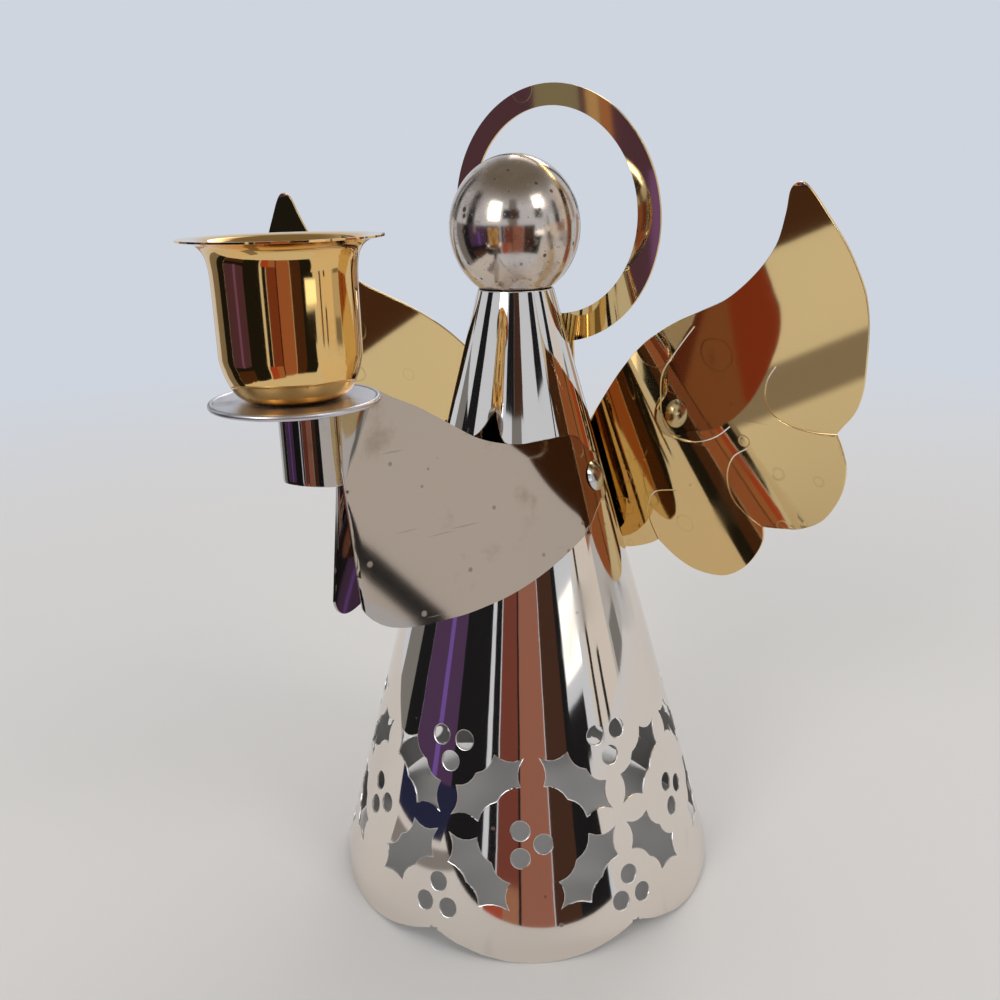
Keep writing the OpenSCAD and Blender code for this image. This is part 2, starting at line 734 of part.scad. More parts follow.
module drip_pan() {
    rim_z = pan_low + pan_t / 2;
    color("silver")
        translate([0, -cup_y, 0])
            difference() {
                union() {
                    translate([0, 0, pan_low])
                        cylinder(r = pan_r - pan_rim_r, h = pan_t);
                    rotate_extrude()
                        translate([pan_r - pan_rim_r, rim_z])
                            circle(pan_rim_r, $fn = 32);
                }
                translate([0, 0, pan_low - over])
                    cylinder(r = cup_screw_r + lay_gap, h = pan_t + 2 * over);
            }
}

// Curves of the cup's round bottom, as shares of the way from the foot to the wall and of the
// bottom's height
bowl_shares = [[0, 0], [0.45, 0.2], [0.78, 0.62], [0.95, 1], [1, 1.2]];
inner_bowl_shares = [[1, 1.15], [0.94, 0.92], [0.753, 0.56], [0.41, 0.17], [0, 0]];
// Curves of the rim, as shares of its flare and of the cup's height below the rim
lip_shares = [[0, 0.3], [0.03, 0.18], [0.15, 0.09], [0.45, 0.035], [1, 0.012]];
inner_lip_shares = [[1, 0], [0.42, 0.012], [0.1, 0.085], [0, 0.2]];

// Half section of the cup: the outside from the bottom up, then the inside down
module cup_section() {
    body_r = cup_bore_r + cup_wall;
    flare = cup_rim_r - body_r;
    rim_z = cup_low + cup_h;
    floor_z = cup_low + cup_wall;
    hole_r = shoulder_r + turn_play;
    bowl = [for (p = bowl_shares)
        [cup_foot_r + p.x * (body_r - cup_foot_r), cup_low + p.y * cup_bowl_h]];
    inner_bowl = [for (p = inner_bowl_shares)
        [cup_foot_r + p.x * (cup_bore_r - cup_foot_r), floor_z + p.y * cup_bowl_h]];
    lip = [for (p = lip_shares) [body_r + p.x * flare, rim_z - p.y * cup_h]];
    inner_lip = [for (p = inner_lip_shares)
        [cup_bore_r + p.x * (cup_rim_r - cup_bore_r), rim_z - p.y * cup_h]];
    polygon(concat([[hole_r, cup_low]], smooth(bowl), [bowl[len(bowl) - 1]],
                   smooth(lip), [lip[len(lip) - 1]],
                   smooth(inner_lip), [inner_lip[len(inner_lip) - 1]],
                   smooth(inner_bowl), [[cup_foot_r, floor_z], [hole_r, floor_z]]));
}

module candle_cup() {
    color("goldenrod")
        translate([0, -cup_y, 0])
            rotate_extrude()
                cup_section();
}

module cup_screw() {
    slot_w = screw_head_r / 4;
    reach = pan_t + sheet + 3 * lay_gap + cup_nut_h + thread_end;
    color("silver")
        translate([0, -cup_y, 0])
            difference() {
                union() {
                    translate([0, 0, pan_top + lay_gap + shoulder_h])
                        cylinder(r = screw_head_r, h = screw_head_h);
                    translate([0, 0, pan_top + lay_gap])
                        cylinder(r = shoulder_r, h = shoulder_h + screw_head_h / 2);
                    translate([0, 0, pan_top - reach])
                        cylinder(r = cup_screw_r, h = reach + shoulder_h);
                }
                translate([-screw_head_r - over, -slot_w / 2,
                           pan_top + lay_gap + shoulder_h + screw_head_h / 2])
                    cube([2 * (screw_head_r + over), slot_w, screw_head_h]);
            }
}

module cup_nut() {
    color("silver")
        translate([0, -cup_y, arms_top - sheet - lay_gap - cup_nut_h])
            nut(cup_nut_flats, cup_screw_r, cup_nut_h);
}

robe();
neck_plug();
head();
head_bush();
head_screw();
head_washer();
halo();
wings();
back_screw();
back_washer();
back_nut();
arms();
arm_rivets();
drip_pan();
candle_cup();
cup_screw();
cup_nut();
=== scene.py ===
# %% [markdown]
# # A sheet-metal angel that carries a candle
#
# The real object is cut and folded from thin plated sheet: a pierced cone for the robe, a
# hollow ball for the head, flat gold sheets for the halo and the wings, one bent strip for
# both arms, and a small pan and cup for the candle. This lesson dresses the CAD model of it
# for a picture. Each bright piece is made again with smooth faces, because polished metal
# shows every flat spot of a coarse mesh. The hidden fasteners keep their CAD shapes and
# only get a finish.

# %% The CAD frame
import math

import bpy
from mathutils import Matrix, Vector


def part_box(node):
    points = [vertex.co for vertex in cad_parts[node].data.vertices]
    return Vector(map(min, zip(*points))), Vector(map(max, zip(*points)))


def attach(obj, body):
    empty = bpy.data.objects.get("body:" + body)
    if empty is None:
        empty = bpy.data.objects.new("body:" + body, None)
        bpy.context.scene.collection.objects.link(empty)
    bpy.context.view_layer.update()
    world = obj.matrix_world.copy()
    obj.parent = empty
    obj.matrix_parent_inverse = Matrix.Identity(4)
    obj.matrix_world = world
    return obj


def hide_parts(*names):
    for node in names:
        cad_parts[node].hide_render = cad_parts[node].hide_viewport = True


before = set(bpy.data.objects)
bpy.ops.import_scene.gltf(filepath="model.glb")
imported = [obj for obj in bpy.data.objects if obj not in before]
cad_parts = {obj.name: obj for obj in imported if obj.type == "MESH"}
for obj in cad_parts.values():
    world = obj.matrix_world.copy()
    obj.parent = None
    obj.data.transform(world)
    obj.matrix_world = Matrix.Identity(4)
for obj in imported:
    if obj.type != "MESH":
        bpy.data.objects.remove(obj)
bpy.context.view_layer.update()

mm = 0.001

# %% [markdown]
# ## The camera
#
# The picture is taken from the angel's front left and a little above, from close by, so the
# perspective is strong. The camera's place and lens were solved from the outlines of the
# robe, the hem, the head and the cup in the photo, and they are written down here as numbers.


# %% Camera at the photo's place
def outward(angle):
    """A level direction away from the angel's axis, at an angle from its front."""
    return Vector((math.sin(angle), -math.cos(angle), 0))


def new_object(name, data):
    """Puts new data into the scene as an object."""
    made = bpy.data.objects.new(name, data)
    bpy.context.scene.collection.objects.link(made)
    return made


heading, pitch, roll = (math.radians(a) for a in (34.86, 17.39, -1.44))
camera_at = Vector((127.82, -191.79, 165.89)) * mm
sensor_w, image_w, focal_px = 36, 1000, 1009.4
ahead = -outward(heading) * math.cos(pitch) - Vector((0, 0, math.sin(pitch)))
level = Vector((math.cos(heading), math.sin(heading), 0))
upward = level.cross(ahead)
right = level * math.cos(roll) + upward * math.sin(roll)
top = upward * math.cos(roll) - level * math.sin(roll)
camera = new_object("camera", bpy.data.cameras.new("camera"))
camera.matrix_world = (Matrix.Translation(camera_at)
                       @ Matrix((right, top, -ahead)).transposed().to_4x4())
camera.data.sensor_width = sensor_w
camera.data.lens = sensor_w * focal_px / image_w
camera.data.clip_start = 0.01
bpy.context.scene.camera = camera
bpy.context.scene.view_settings.view_transform = "Standard"
print("camera with a", round(camera.data.lens, 1), "mm lens")

# %% [markdown]
# ## The studio
#
# Polished metal has almost no look of its own: it shows the room. A plain pale room would
# turn the robe into a grey cone, so the studio has soft lamps, two rows of plain cards in
# greys, browns and plum round the angel, and a dim ceiling. The cards are seen only in
# reflections. They draw the upright light and dark bands that make a cone read as polished,
# from every side. The flat gold wings look down at the table, so its end and a painted shadow
# band on it, both made for the metal alone, draw the slanted bands on them. The foot of the robe
# looks at the table too, and a small slat gives it a dark place there.


# %% Helpers for picking objects and for node work
def choose(piece):
    """Selects one object alone and makes it the active one."""
    if bpy.context.object and bpy.context.object.mode != "OBJECT":
        bpy.ops.object.mode_set(mode="OBJECT")
    bpy.ops.object.select_all(action="DESELECT")
    piece.select_set(True)
    bpy.context.view_layer.objects.active = piece
    return piece


def add_shape(name, operator, **settings):
    """Adds a primitive with nothing else selected, and names it."""
    bpy.ops.object.select_all(action="DESELECT")
    operator(**settings)
    bpy.context.object.name = name
    return bpy.context.object


def set_inputs(made, values):
    """Sets a node's inputs, each by its label or its number."""
    for label, value in values.items():
        made.inputs[label].default_value = value
    return made


def node(tree, kind, values=None, **settings):
    """Adds a node, and sets its properties and its inputs."""
    made = tree.nodes.new(kind)
    for name, value in settings.items():
        setattr(made, name, value)
    return set_inputs(made, values or {})


def feed(tree, socket, value):
    """Gives an input a plain number, or links another node's output to it."""
    if isinstance(value, (int, float)):
        socket.default_value = value
    else:
        tree.links.new(value, socket)


def math_step(tree, operation, *values):
    """A Math node whose inputs are numbers or other nodes' outputs."""
    step = node(tree, "ShaderNodeMath", operation=operation)
    for socket, value in zip(step.inputs, values):
        feed(tree, socket, value)
    return step.outputs[0]


def product(tree, result, *others):
    """Several masks multiplied, so that it is 1 only where all of them are."""
    for other in others:
        result = math_step(tree, "MULTIPLY", result, other)
    return result


def ramp_between(tree, value, low, high):
    """0 below low, 1 above high, and smooth between them."""
    step = node(tree, "ShaderNodeMapRange", interpolation_type="SMOOTHSTEP")
    for label, number in (("Value", value), ("From Min", low), ("From Max", high)):
        feed(tree, step.inputs[label], number)
    return step.outputs["Result"]


# %% Helpers for shaders and for what only reflections show
def seen_directly(tree):
    """1 for what the camera sees, also in metal and through glass."""
    path = node(tree, "ShaderNodeLightPath")
    return math_step(tree, "MAXIMUM", path.outputs["Is Transmission Ray"], math_step(
        tree, "MAXIMUM", path.outputs["Is Camera Ray"], path.outputs["Is Glossy Ray"]))


def mix_shaders(tree, share, first, second):
    """Blends two shaders: all of the first where share is 0."""
    blend = node(tree, "ShaderNodeMixShader")
    for socket, value in zip(blend.inputs, (share, first, second)):
        tree.links.new(value, socket)
    return blend.outputs[0]


def new_paint(name):
    """A material, and its node tree."""
    paint = bpy.data.materials.new(name)
    paint.use_nodes = True
    return paint, paint.node_tree


def glow(tree, colour):
    """A surface that shines evenly in one colour."""
    return node(tree, "ShaderNodeEmission", {"Color": (*colour, 1)}).outputs[0]


def nothing(tree):
    """A surface that lets everything through."""
    return node(tree, "ShaderNodeBsdfTransparent").outputs[0]


def place_and_distance(tree):
    """Each place on an object, and how far it is from the object's middle."""
    place = node(tree, "ShaderNodeTexCoord").outputs["Object"]
    far = node(tree, "ShaderNodeVectorMath", operation="LENGTH")
    tree.links.new(place, far.inputs[0])
    return place, far.outputs["Value"]


def link_surface(tree, surface):
    """Makes a shader the surface of its material."""
    tree.links.new(surface, tree.nodes["Material Output"].inputs[0])


def only_mirrored(card):
    """Hides a card from the camera and from matt surfaces: only metal shows it."""
    card.visible_camera = card.visible_diffuse = card.visible_shadow = False


# %% Background: a pale wall for the camera and the metal, soft light for the rest
wall_colour = (0.62, 0.665, 0.74)
world = bpy.data.worlds.new("pale_room")
bpy.context.scene.world = world
world.use_nodes = True
tree = world.node_tree
tree.nodes.clear()
fill_light = node(tree, "ShaderNodeBackground", {"Color": (0.95, 0.97, 1, 1), "Strength": 0.62})
wall = node(tree, "ShaderNodeBackground", {"Color": (*wall_colour, 1)})
out = node(tree, "ShaderNodeOutputWorld")
tree.links.new(mix_shaders(tree, seen_directly(tree), fill_light.outputs[0], wall.outputs[0]),
               out.inputs[0])
print("background:", world.name)

# %% Floor: a pale table that fades into the wall
table_top = add_shape("table_top", bpy.ops.mesh.primitive_circle_add,
                      vertices=96, radius=5, fill_type="NGON")
paint, tree = new_paint("pale_table")
shader = set_inputs(tree.nodes["Principled BSDF"], {
    "Base Color": (0.75, 0.72, 0.69, 1), "Roughness": 0.8, "Specular IOR Level": 0.2})
place, far = place_and_distance(tree)
fade = product(tree, ramp_between(tree, far, 0.2, 0.9), seen_directly(tree))
faded = mix_shaders(tree, fade, shader.outputs[0], glow(tree, wall_colour))
mirrored = node(tree, "ShaderNodeLightPath").outputs["Is Glossy Ray"]


def along_table(degrees):
    """How far a place on the table lies from the angel, at an angle from the camera's side."""
    way = node(tree, "ShaderNodeVectorMath", {1: outward(heading + math.radians(degrees))},
               operation="DOT_PRODUCT")
    tree.links.new(place, way.inputs[0])
    return way.outputs["Value"]


# %% For the metal alone, the table ends close to the angel and has a painted shadow band on its right
past_front = product(tree, math_step(tree, "GREATER_THAN", along_table(14), 90 * mm),
                     math_step(tree, "LESS_THAN", along_table(135), -6 * mm))
beside = along_table(-90)
past_side = math_step(tree, "GREATER_THAN", beside, 215 * mm)
gone = product(tree, mirrored, math_step(tree, "MAXIMUM", past_front, past_side))
# A dim band that only the metal sees on the table: a painted shadow of the angel, with soft edges
painted_shadow_band = product(tree, mirrored, ramp_between(tree, beside, 94 * mm, 100 * mm),
               math_step(tree, "SUBTRACT", 1, ramp_between(tree, beside, 124 * mm, 130 * mm)),
               math_step(tree, "GREATER_THAN", along_table(0), 20 * mm))
table_with_painted_shadow = mix_shaders(tree, painted_shadow_band, faded, glow(tree, (0.235, 0.215, 0.21)))
link_surface(tree, mix_shaders(tree, gone, table_with_painted_shadow, nothing(tree)))
table_top.data.materials.append(paint)
print("floor:", table_top.name)

# %% Lamps: one in front of the angel, one to the camera's right, one behind
angel_middle = Vector((0, 0, 0.1))


def round_the_angel(azimuth, distance, height):
    """A point at an angle from the camera's side, counted to the camera's right."""
    return outward(heading + math.radians(azimuth)) * distance + Vector((0, 0, height))


def soft_lamp(name, azimuth, distance, height, size, brightness):
    """A rectangular lamp that faces the angel's middle."""
    lamp = bpy.data.lights.new(name, "AREA")
    lamp.shape = "RECTANGLE"
    lamp.size, lamp.size_y = size
    lamp.energy = brightness * math.pi * size[0] * size[1]
    stand = new_object(name, lamp)
    stand.location = round_the_angel(azimuth, distance, height)
    stand.rotation_mode = "QUATERNION"
    stand.rotation_quaternion = (stand.location - angel_middle).to_track_quat("Z", "Y")
    print(name, "at", [round(c, 2) for c in stand.location])


soft_lamp("front_lamp", -38, 2.2, 1.15, (0.85, 1.1), 4.5)
soft_lamp("side_lamp", 48, 2.0, 1.6, (0.8, 0.8), 4)
soft_lamp("back_lamp", 165, 2.0, 1.9, (1.2, 1.2), 3)

# %% Cards in two rows, as (angle from the camera's side, width in degrees, paint)
card_colours = {
    "black": (0.012, 0.012, 0.013),
    "plum": (0.075, 0.04, 0.095),
    "grey": (0.2, 0.195, 0.19),
    "brown": (0.17, 0.05, 0.035),
    "tan": (0.42, 0.30, 0.20),
    "rust": (0.33, 0.15, 0.09),
    "brick": (0.35, 0.07, 0.04),
    "violet": (0.16, 0.085, 0.34),
    "mist": (0.47, 0.47, 0.46),
    "clay": (0.3, 0.125, 0.085),
    "umber": (0.06, 0.028, 0.018),
    "bright": (1.6, 1.55, 1.5),
    "cream": (0.68, 0.635, 0.585),
}
low_row = [
    (-176, 10, "grey"), (-150, 8, "tan"), (-111, 20, "grey"), (-93.5, 15, "black"),
    (-40, 24, "black"), (-22, 5, "black"), (-12.3, 13, "brown"), (-5.2, 1.4, "black"),
    (4.5, 18, "clay"), (21.5, 15, "umber"), (31, 4.5, "black"), (79, 50, "cream"),
    (112, 5, "grey"), (140, 14, "tan"), (164, 6, "black")]
high_row = [
    (-142, 10, "grey"), (-128, 12, "black"), (-84, 18, "black"), (-4, 15, "grey"),
    (97, 20, "cream"), (125, 10, "tan"), (150, 8, "black")]
row_away, row_foot, row_split, row_top = 0.6, -0.27, 0.2, 0.7
cards = ([(*card, row_away, row_foot, row_split) for card in low_row]
         + [(*card, row_away, row_split, row_top) for card in high_row])

# %% Cards of other sizes, with their distance, their foot and their top as well
cards += [
    # for the wings and the halo
    (-69, 34, "plum", 0.6, -0.06, 0.2), (-69, 34, "black", 0.6, -0.13, -0.06),
    (-69, 34, "umber", 0.6, -0.27, -0.13), (-66, 4, "violet", 0.59, -0.06, 0.12),
    (-74.8, 3.4, "grey", 0.59, 0.1, 0.2), (-72.1, 1, "tan", 0.59, 0.1, 0.2),
    (-71.1, 0.8, "rust", 0.59, 0.1, 0.2), (-10.5, 9, "rust", 0.59, -0.27, -0.06),
    (-20.5, 11, "brick", 0.59, -0.27, -0.06),
    # for the robe, and the sleeve that it mirrors
    (58, 2.2, "black", 0.58, -0.2, 0.3), (85, 17, "rust", 0.58, 0.112, 0.2),
    (42, 16, "bright", 0.55, 0.068, 0.13), (38, 18, "black", 0.6, -0.27, 0.05),
    (66, 2.5, "black", 0.58, -0.27, 0.055), (92, 24, "mist", 0.59, -0.1, 0.112),
    (90, 12, "grey", 0.58, -0.03, 0.04),
    # for the narrow neck
    (-15, 14, "black", 0.59, 0.3, 0.46), (0, 15, "umber", 0.59, 0.3, 0.46),
    (42, 14, "black", 0.59, 0.3, 0.46), (78, 10, "black", 0.59, 0.2, 0.5)]

# %% Every card, standing upright and facing the angel
for count, (azimuth, width, colour, distance, low, high) in enumerate(cards):
    card = add_shape(f"card_{count}", bpy.ops.mesh.primitive_plane_add, size=1,
                     location=round_the_angel(azimuth, distance, (low + high) / 2),
                     rotation=(math.pi / 2, 0, heading + math.radians(azimuth)))
    card.scale = (2 * distance * math.tan(math.radians(width / 2)), high - low, 1)
    paint = bpy.data.materials.get(f"{colour}_card")
    if not paint:
        paint, tree = new_paint(f"{colour}_card")
        set_inputs(tree.nodes["Principled BSDF"], {
            "Base Color": (0, 0, 0, 1), "Specular IOR Level": 0,
            "Emission Color": (*card_colours[colour], 1), "Emission Strength": 1})
    card.data.materials.append(paint)
    only_mirrored(card)
print(len(cards), "cards round the angel")

# %% A low slat beside the angel: the robe sees its dark under side, and from above it is not there
slat = add_shape("low_slat", bpy.ops.mesh.primitive_plane_add, size=1,
                 location=round_the_angel(-61.5, 0.136, 0.013),
                 rotation=(0, -math.radians(31), heading))
slat.scale = (0.0505, 0.1, 1)
paint, tree = new_paint("navy_slat")
tree.nodes.remove(tree.nodes["Principled BSDF"])
under = node(tree, "ShaderNodeNewGeometry").outputs["Backfacing"]
link_surface(tree, mix_shaders(tree, under, nothing(tree), glow(tree, (0.02, 0.022, 0.055))))
slat.data.materials.append(paint)
only_mirrored(slat)
slat.visible_transmission = False

# %% A dim ceiling for the upper half of the head, with a soft edge
ceiling = add_shape("ceiling_card", bpy.ops.mesh.primitive_circle_add,
                    vertices=64, radius=2.4, fill_type="NGON", location=(0, 0, 1.5))
paint, tree = new_paint("dim_ceiling")
tree.nodes.remove(tree.nodes["Principled BSDF"])
place, far = place_and_distance(tree)
edge = ramp_between(tree, far, 0.7, 2.3)
link_surface(tree, mix_shaders(tree, edge, glow(tree, (0.2, 0.18, 0.15)), nothing(tree)))
ceiling.data.materials.append(paint)
only_mirrored(ceiling)
ceiling.visible_transmission = False
print("also for the metal:", slat.name, "and", ceiling.name)

# %% [markdown]
# ## Marks on the metal
#
# The plating is old. It has clouds of tarnish, pits, rings left by dried drops, and fine
# scratches. Each of these marks is one node group, used by more than one finish with its own
# values. A group only gives a mask from 0 to 1, and the finish decides what the mask does.


# %% A group with one mask, and what several groups hold
def new_group(name, numbers):
    """A node group with a Vector input, numbers with their defaults, and one Mask output."""
    group = bpy.data.node_groups.new(name, "ShaderNodeTree")
    group.interface.new_socket("Vector", in_out="INPUT", socket_type="NodeSocketVector")
    for label, value in numbers.items():
        socket = group.interface.new_socket(label, in_out="INPUT", socket_type="NodeSocketFloat")
        socket.default_value = value
    group.interface.new_socket("Mask", in_out="OUTPUT", socket_type="NodeSocketFloat")
    return group, node(group, "NodeGroupInput"), node(group, "NodeGroupOutput")


def texture(group, given, kind, values=None):
    """A texture that reads the group's own Vector and Scale."""
    made = node(group, kind, values)
    for label in ("Vector", "Scale"):
        group.links.new(given.outputs[label], made.inputs[label])
    return made


def picked_cells(group, given, cells, least):
    """Picks a share of a texture's cells, and gives each cell a size of its own."""
    chance = node(group, "ShaderNodeSeparateColor")
    group.links.new(cells.outputs["Color"], chance.inputs[0])
    chosen = math_step(group, "LESS_THAN", chance.outputs["Red"], given.outputs["Share"])
    return chosen, math_step(group, "MULTIPLY", given.outputs["Size"],
                             math_step(group, "ADD", chance.outputs["Green"], least))


# %% Clouds of tarnish: soft noise, cut off so that only its highest parts show
clouds, given, result = new_group("tarnish_clouds", {"Scale": 60, "Start": 0.52, "Full": 0.72})
noise = texture(clouds, given, "ShaderNodeTexNoise", {"Detail": 5, "Roughness": 0.62})
high_parts = ramp_between(clouds, noise.outputs["Fac"], given.outputs["Start"],
                          given.outputs["Full"])
clouds.links.new(high_parts, result.inputs["Mask"])

# %% Pits: dots at random places, of random size
pits, given, result = new_group("pits", {"Scale": 300, "Share": 0.3, "Size": 0.22})
cells = texture(pits, given, "ShaderNodeTexVoronoi")
chosen, reach = picked_cells(pits, given, cells, 0.35)
dot = math_step(pits, "SUBTRACT", 1, ramp_between(
    pits, cells.outputs["Distance"], math_step(pits, "MULTIPLY", reach, 0.5), reach))
pits.links.new(product(pits, dot, chosen), result.inputs["Mask"])

# %% Drop rings: a thin line at one distance from a cell's middle, in few of the cells
rings, given, result = new_group("drop_rings", {
    "Scale": 70, "Share": 0.3, "Size": 0.28, "Line": 0.022})
bend = node(rings, "ShaderNodeTexNoise", {"Scale": 220})
rings.links.new(given.outputs["Vector"], bend.inputs["Vector"])
cells = texture(rings, given, "ShaderNodeTexVoronoi", {"Randomness": 0.75})
chosen, reach = picked_cells(rings, given, cells, 0.4)
wavy = math_step(rings, "ADD", cells.outputs["Distance"],
                 math_step(rings, "MULTIPLY", bend.outputs["Fac"], 0.06))
off_line = math_step(rings, "ABSOLUTE", math_step(rings, "SUBTRACT", wavy, reach))
line = math_step(rings, "SUBTRACT", 1, ramp_between(rings, off_line, 0, given.outputs["Line"]))
rings.links.new(product(rings, line, chosen), result.inputs["Mask"])

# %% Scratches: noise that is stretched along one direction, cut to its thinnest crests
scratches, given, result = new_group("fine_scratches", {
    "Scale": 40, "Stretch": 30, "Start": 0.66, "Full": 0.7})
stretch = node(scratches, "ShaderNodeCombineXYZ", {"X": 1, "Y": 1})
scratches.links.new(given.outputs["Stretch"], stretch.inputs["Z"])
squeezed = node(scratches, "ShaderNodeVectorMath", operation="MULTIPLY")
scratches.links.new(given.outputs["Vector"], squeezed.inputs[0])
scratches.links.new(stretch.outputs[0], squeezed.inputs[1])
noise = node(scratches, "ShaderNodeTexNoise", {"Detail": 2})
scratches.links.new(squeezed.outputs[0], noise.inputs["Vector"])
scratches.links.new(given.outputs["Scale"], noise.inputs["Scale"])
crests = ramp_between(scratches, noise.outputs["Fac"], given.outputs["Start"],
                      given.outputs["Full"])
scratches.links.new(crests, result.inputs["Mask"])
print("four kinds of marks:", [g.name for g in (clouds, pits, rings, scratches)])

# %% [markdown]
# ## The finishes
#
# A plated finish is a Principled shader with Metallic at 1. Its base colour is the metal's
# tint, its roughness is how well it is polished, and the marks change both in places. Each
# finish is listed here as its tint, the roughness of clean and dull places, and its marks.

# %% One builder for all plated finishes
first_colour, second_colour, mixed_colour = 6, 7, 2  # a Mix node's sockets for colours
shade = 0.93


def plated(name, tint, polish, dull, marks=(), wave=0.0, wave_scale=25.0):
    """A metal finish. A mark is (group, its values, colour, how strongly it covers, how much
    it dulls, height of its relief). wave is the height of the soft dents of thin sheet."""
    finish, tree = new_paint(name)
    shader = set_inputs(tree.nodes["Principled BSDF"], {"Metallic": 1})
    place = node(tree, "ShaderNodeTexCoord").outputs["Object"]
    # Broad, faint changes of tint and polish, as no plating is quite even
    drift = node(tree, "ShaderNodeTexNoise", {"Scale": wave_scale, "Detail": 0})
    tree.links.new(place, drift.inputs["Vector"])
    colour = node(tree, "ShaderNodeMix", {
        first_colour: (*tint, 1), second_colour: (*[c * shade for c in tint], 1)},
        data_type="RGBA")
    tree.links.new(drift.outputs["Fac"], colour.inputs[0])
    colour_now = colour.outputs[mixed_colour]
    rough_now = math_step(tree, "MULTIPLY_ADD", drift.outputs["Fac"], dull - polish, polish)
    height_now = math_step(tree, "MULTIPLY", drift.outputs["Fac"], wave)
    for group, values, stain, cover, dulls, relief in marks:
        mark = node(tree, "ShaderNodeGroup", node_tree=group)
        set_inputs(mark, values)
        tree.links.new(place, mark.inputs["Vector"])
        mix = node(tree, "ShaderNodeMix", {second_colour: (*stain, 1)}, data_type="RGBA")
        tree.links.new(colour_now, mix.inputs[first_colour])
        tree.links.new(math_step(tree, "MULTIPLY", mark.outputs[0], cover), mix.inputs[0])
        colour_now = mix.outputs[mixed_colour]
        rough_now = math_step(tree, "MULTIPLY_ADD", mark.outputs[0], dulls, rough_now)
        height_now = math_step(tree, "MULTIPLY_ADD", mark.outputs[0], relief, height_now)
    bump = node(tree, "ShaderNodeBump", {"Strength": 1, "Distance": mm})
    tree.links.new(height_now, bump.inputs["Height"])
    for label, value in (("Base Color", colour_now), ("Roughness", rough_now),
                         ("Normal", bump.outputs[0])):
        tree.links.new(value, shader.inputs[label])
    print("finish:", name)
    return finish


# %% Nickel finishes
brown = (0.20, 0.13, 0.08)
black = (0.03, 0.025, 0.02)
polished_nickel = plated("polished_nickel", (0.87, 0.80, 0.73), 0.035, 0.06, [
    (pits, {"Scale": 260, "Share": 0.05, "Size": 0.2}, brown, 0.6, 0.2, 0),
    (clouds, {"Scale": 45, "Start": 0.62, "Full": 0.85}, brown, 0.25, 0.18, 0),
    (scratches, {"Scale": 60, "Stretch": 0.08, "Start": 0.68, "Full": 0.74}, black, 0.12, 0.12, 0),
], wave=0.02)
worn_nickel = plated("worn_nickel", (0.70, 0.60, 0.51), 0.1, 0.17, [
    (clouds, {"Scale": 110, "Start": 0.45, "Full": 0.75}, (0.34, 0.25, 0.2), 0.5, 0.16, 0),
    (clouds, {"Scale": 420, "Start": 0.55, "Full": 0.75}, (0.3, 0.22, 0.17), 0.4, 0.15, 0),
    (pits, {"Scale": 520, "Share": 0.22, "Size": 0.3}, black, 0.8, 0.25, -0.01),
    (pits, {"Scale": 1500, "Share": 0.35, "Size": 0.32}, brown, 0.5, 0.2, 0),
    (scratches, {"Scale": 150, "Stretch": 0.15, "Start": 0.6, "Full": 0.7},
     (0.8, 0.75, 0.7), 0.25, 0.15, 0),
], wave=0.015, wave_scale=90)
satin_nickel = plated("satin_nickel", (0.55, 0.49, 0.44), 0.04, 0.075, [
    (clouds, {"Scale": 70, "Start": 0.58, "Full": 0.78}, (0.24, 0.18, 0.12), 0.42, 0.12, 0),
    (pits, {"Scale": 330, "Share": 0.14, "Size": 0.2}, brown, 0.5, 0.2, 0),
    (scratches, {"Scale": 30, "Stretch": 22, "Start": 0.69, "Full": 0.73}, black, 0.25, 0.15, 0),
], wave=0.03)
dull_nickel = plated("dull_nickel", (0.42, 0.415, 0.41), 0.35, 0.5, [
    (clouds, {"Scale": 60, "Start": 0.45, "Full": 0.8}, (0.2, 0.18, 0.16), 0.4, 0.1, 0)])
# Rims of the punched holes: rougher, with tarnish clouds, and a paler tint that is a painted
# highlight along the cut edges
rim_nickel_with_painted_highlight = plated("rim_nickel_with_painted_highlight", (0.95, 0.93, 0.9), 0.3, 0.42, [
    (clouds, {"Scale": 200, "Start": 0.5, "Full": 0.8}, (0.5, 0.45, 0.4), 0.4, 0.1, 0)])
pan_nickel = plated("pan_nickel", (0.72, 0.69, 0.69), 0.28, 0.36, [
    (clouds, {"Scale": 110, "Start": 0.5, "Full": 0.8}, (0.24, 0.2, 0.18), 0.35, 0.1, 0),
    (pits, {"Scale": 500, "Share": 0.2, "Size": 0.24}, brown, 0.5, 0.2, 0)])
fastener_nickel = plated("fastener_nickel", (0.68, 0.67, 0.65), 0.14, 0.22, [
    (pits, {"Scale": 500, "Share": 0.15, "Size": 0.2}, brown, 0.4, 0.2, 0)])

# %% Gold and brass finishes
polished_gold = plated("polished_gold", (0.89, 0.67, 0.33), 0.03, 0.055, [
    (rings, {}, (0.62, 0.47, 0.22), 0.45, 0.1, 0.004),
    (rings, {"Scale": 120, "Share": 0.2, "Size": 0.3, "Line": 0.03},
     (0.6, 0.45, 0.2), 0.35, 0.08, 0.003),
    (clouds, {"Scale": 40, "Start": 0.6, "Full": 0.9}, (0.45, 0.28, 0.12), 0.3, 0.1, 0),
], wave=0.012, wave_scale=14)
cup_gold = plated("cup_gold", (0.93, 0.59, 0.22), 0.04, 0.08, [
    (clouds, {"Scale": 90, "Start": 0.56, "Full": 0.82}, (0.4, 0.2, 0.06), 0.3, 0.1, 0),
    (pits, {"Scale": 380, "Share": 0.06, "Size": 0.2}, (0.25, 0.12, 0.05), 0.5, 0.2, 0),
], wave=0.03, wave_scale=45)
plain_brass = plated("plain_brass", (0.66, 0.50, 0.26), 0.18, 0.3, [
    (clouds, {"Scale": 120, "Start": 0.5, "Full": 0.8}, (0.3, 0.2, 0.1), 0.4, 0.1, 0)])
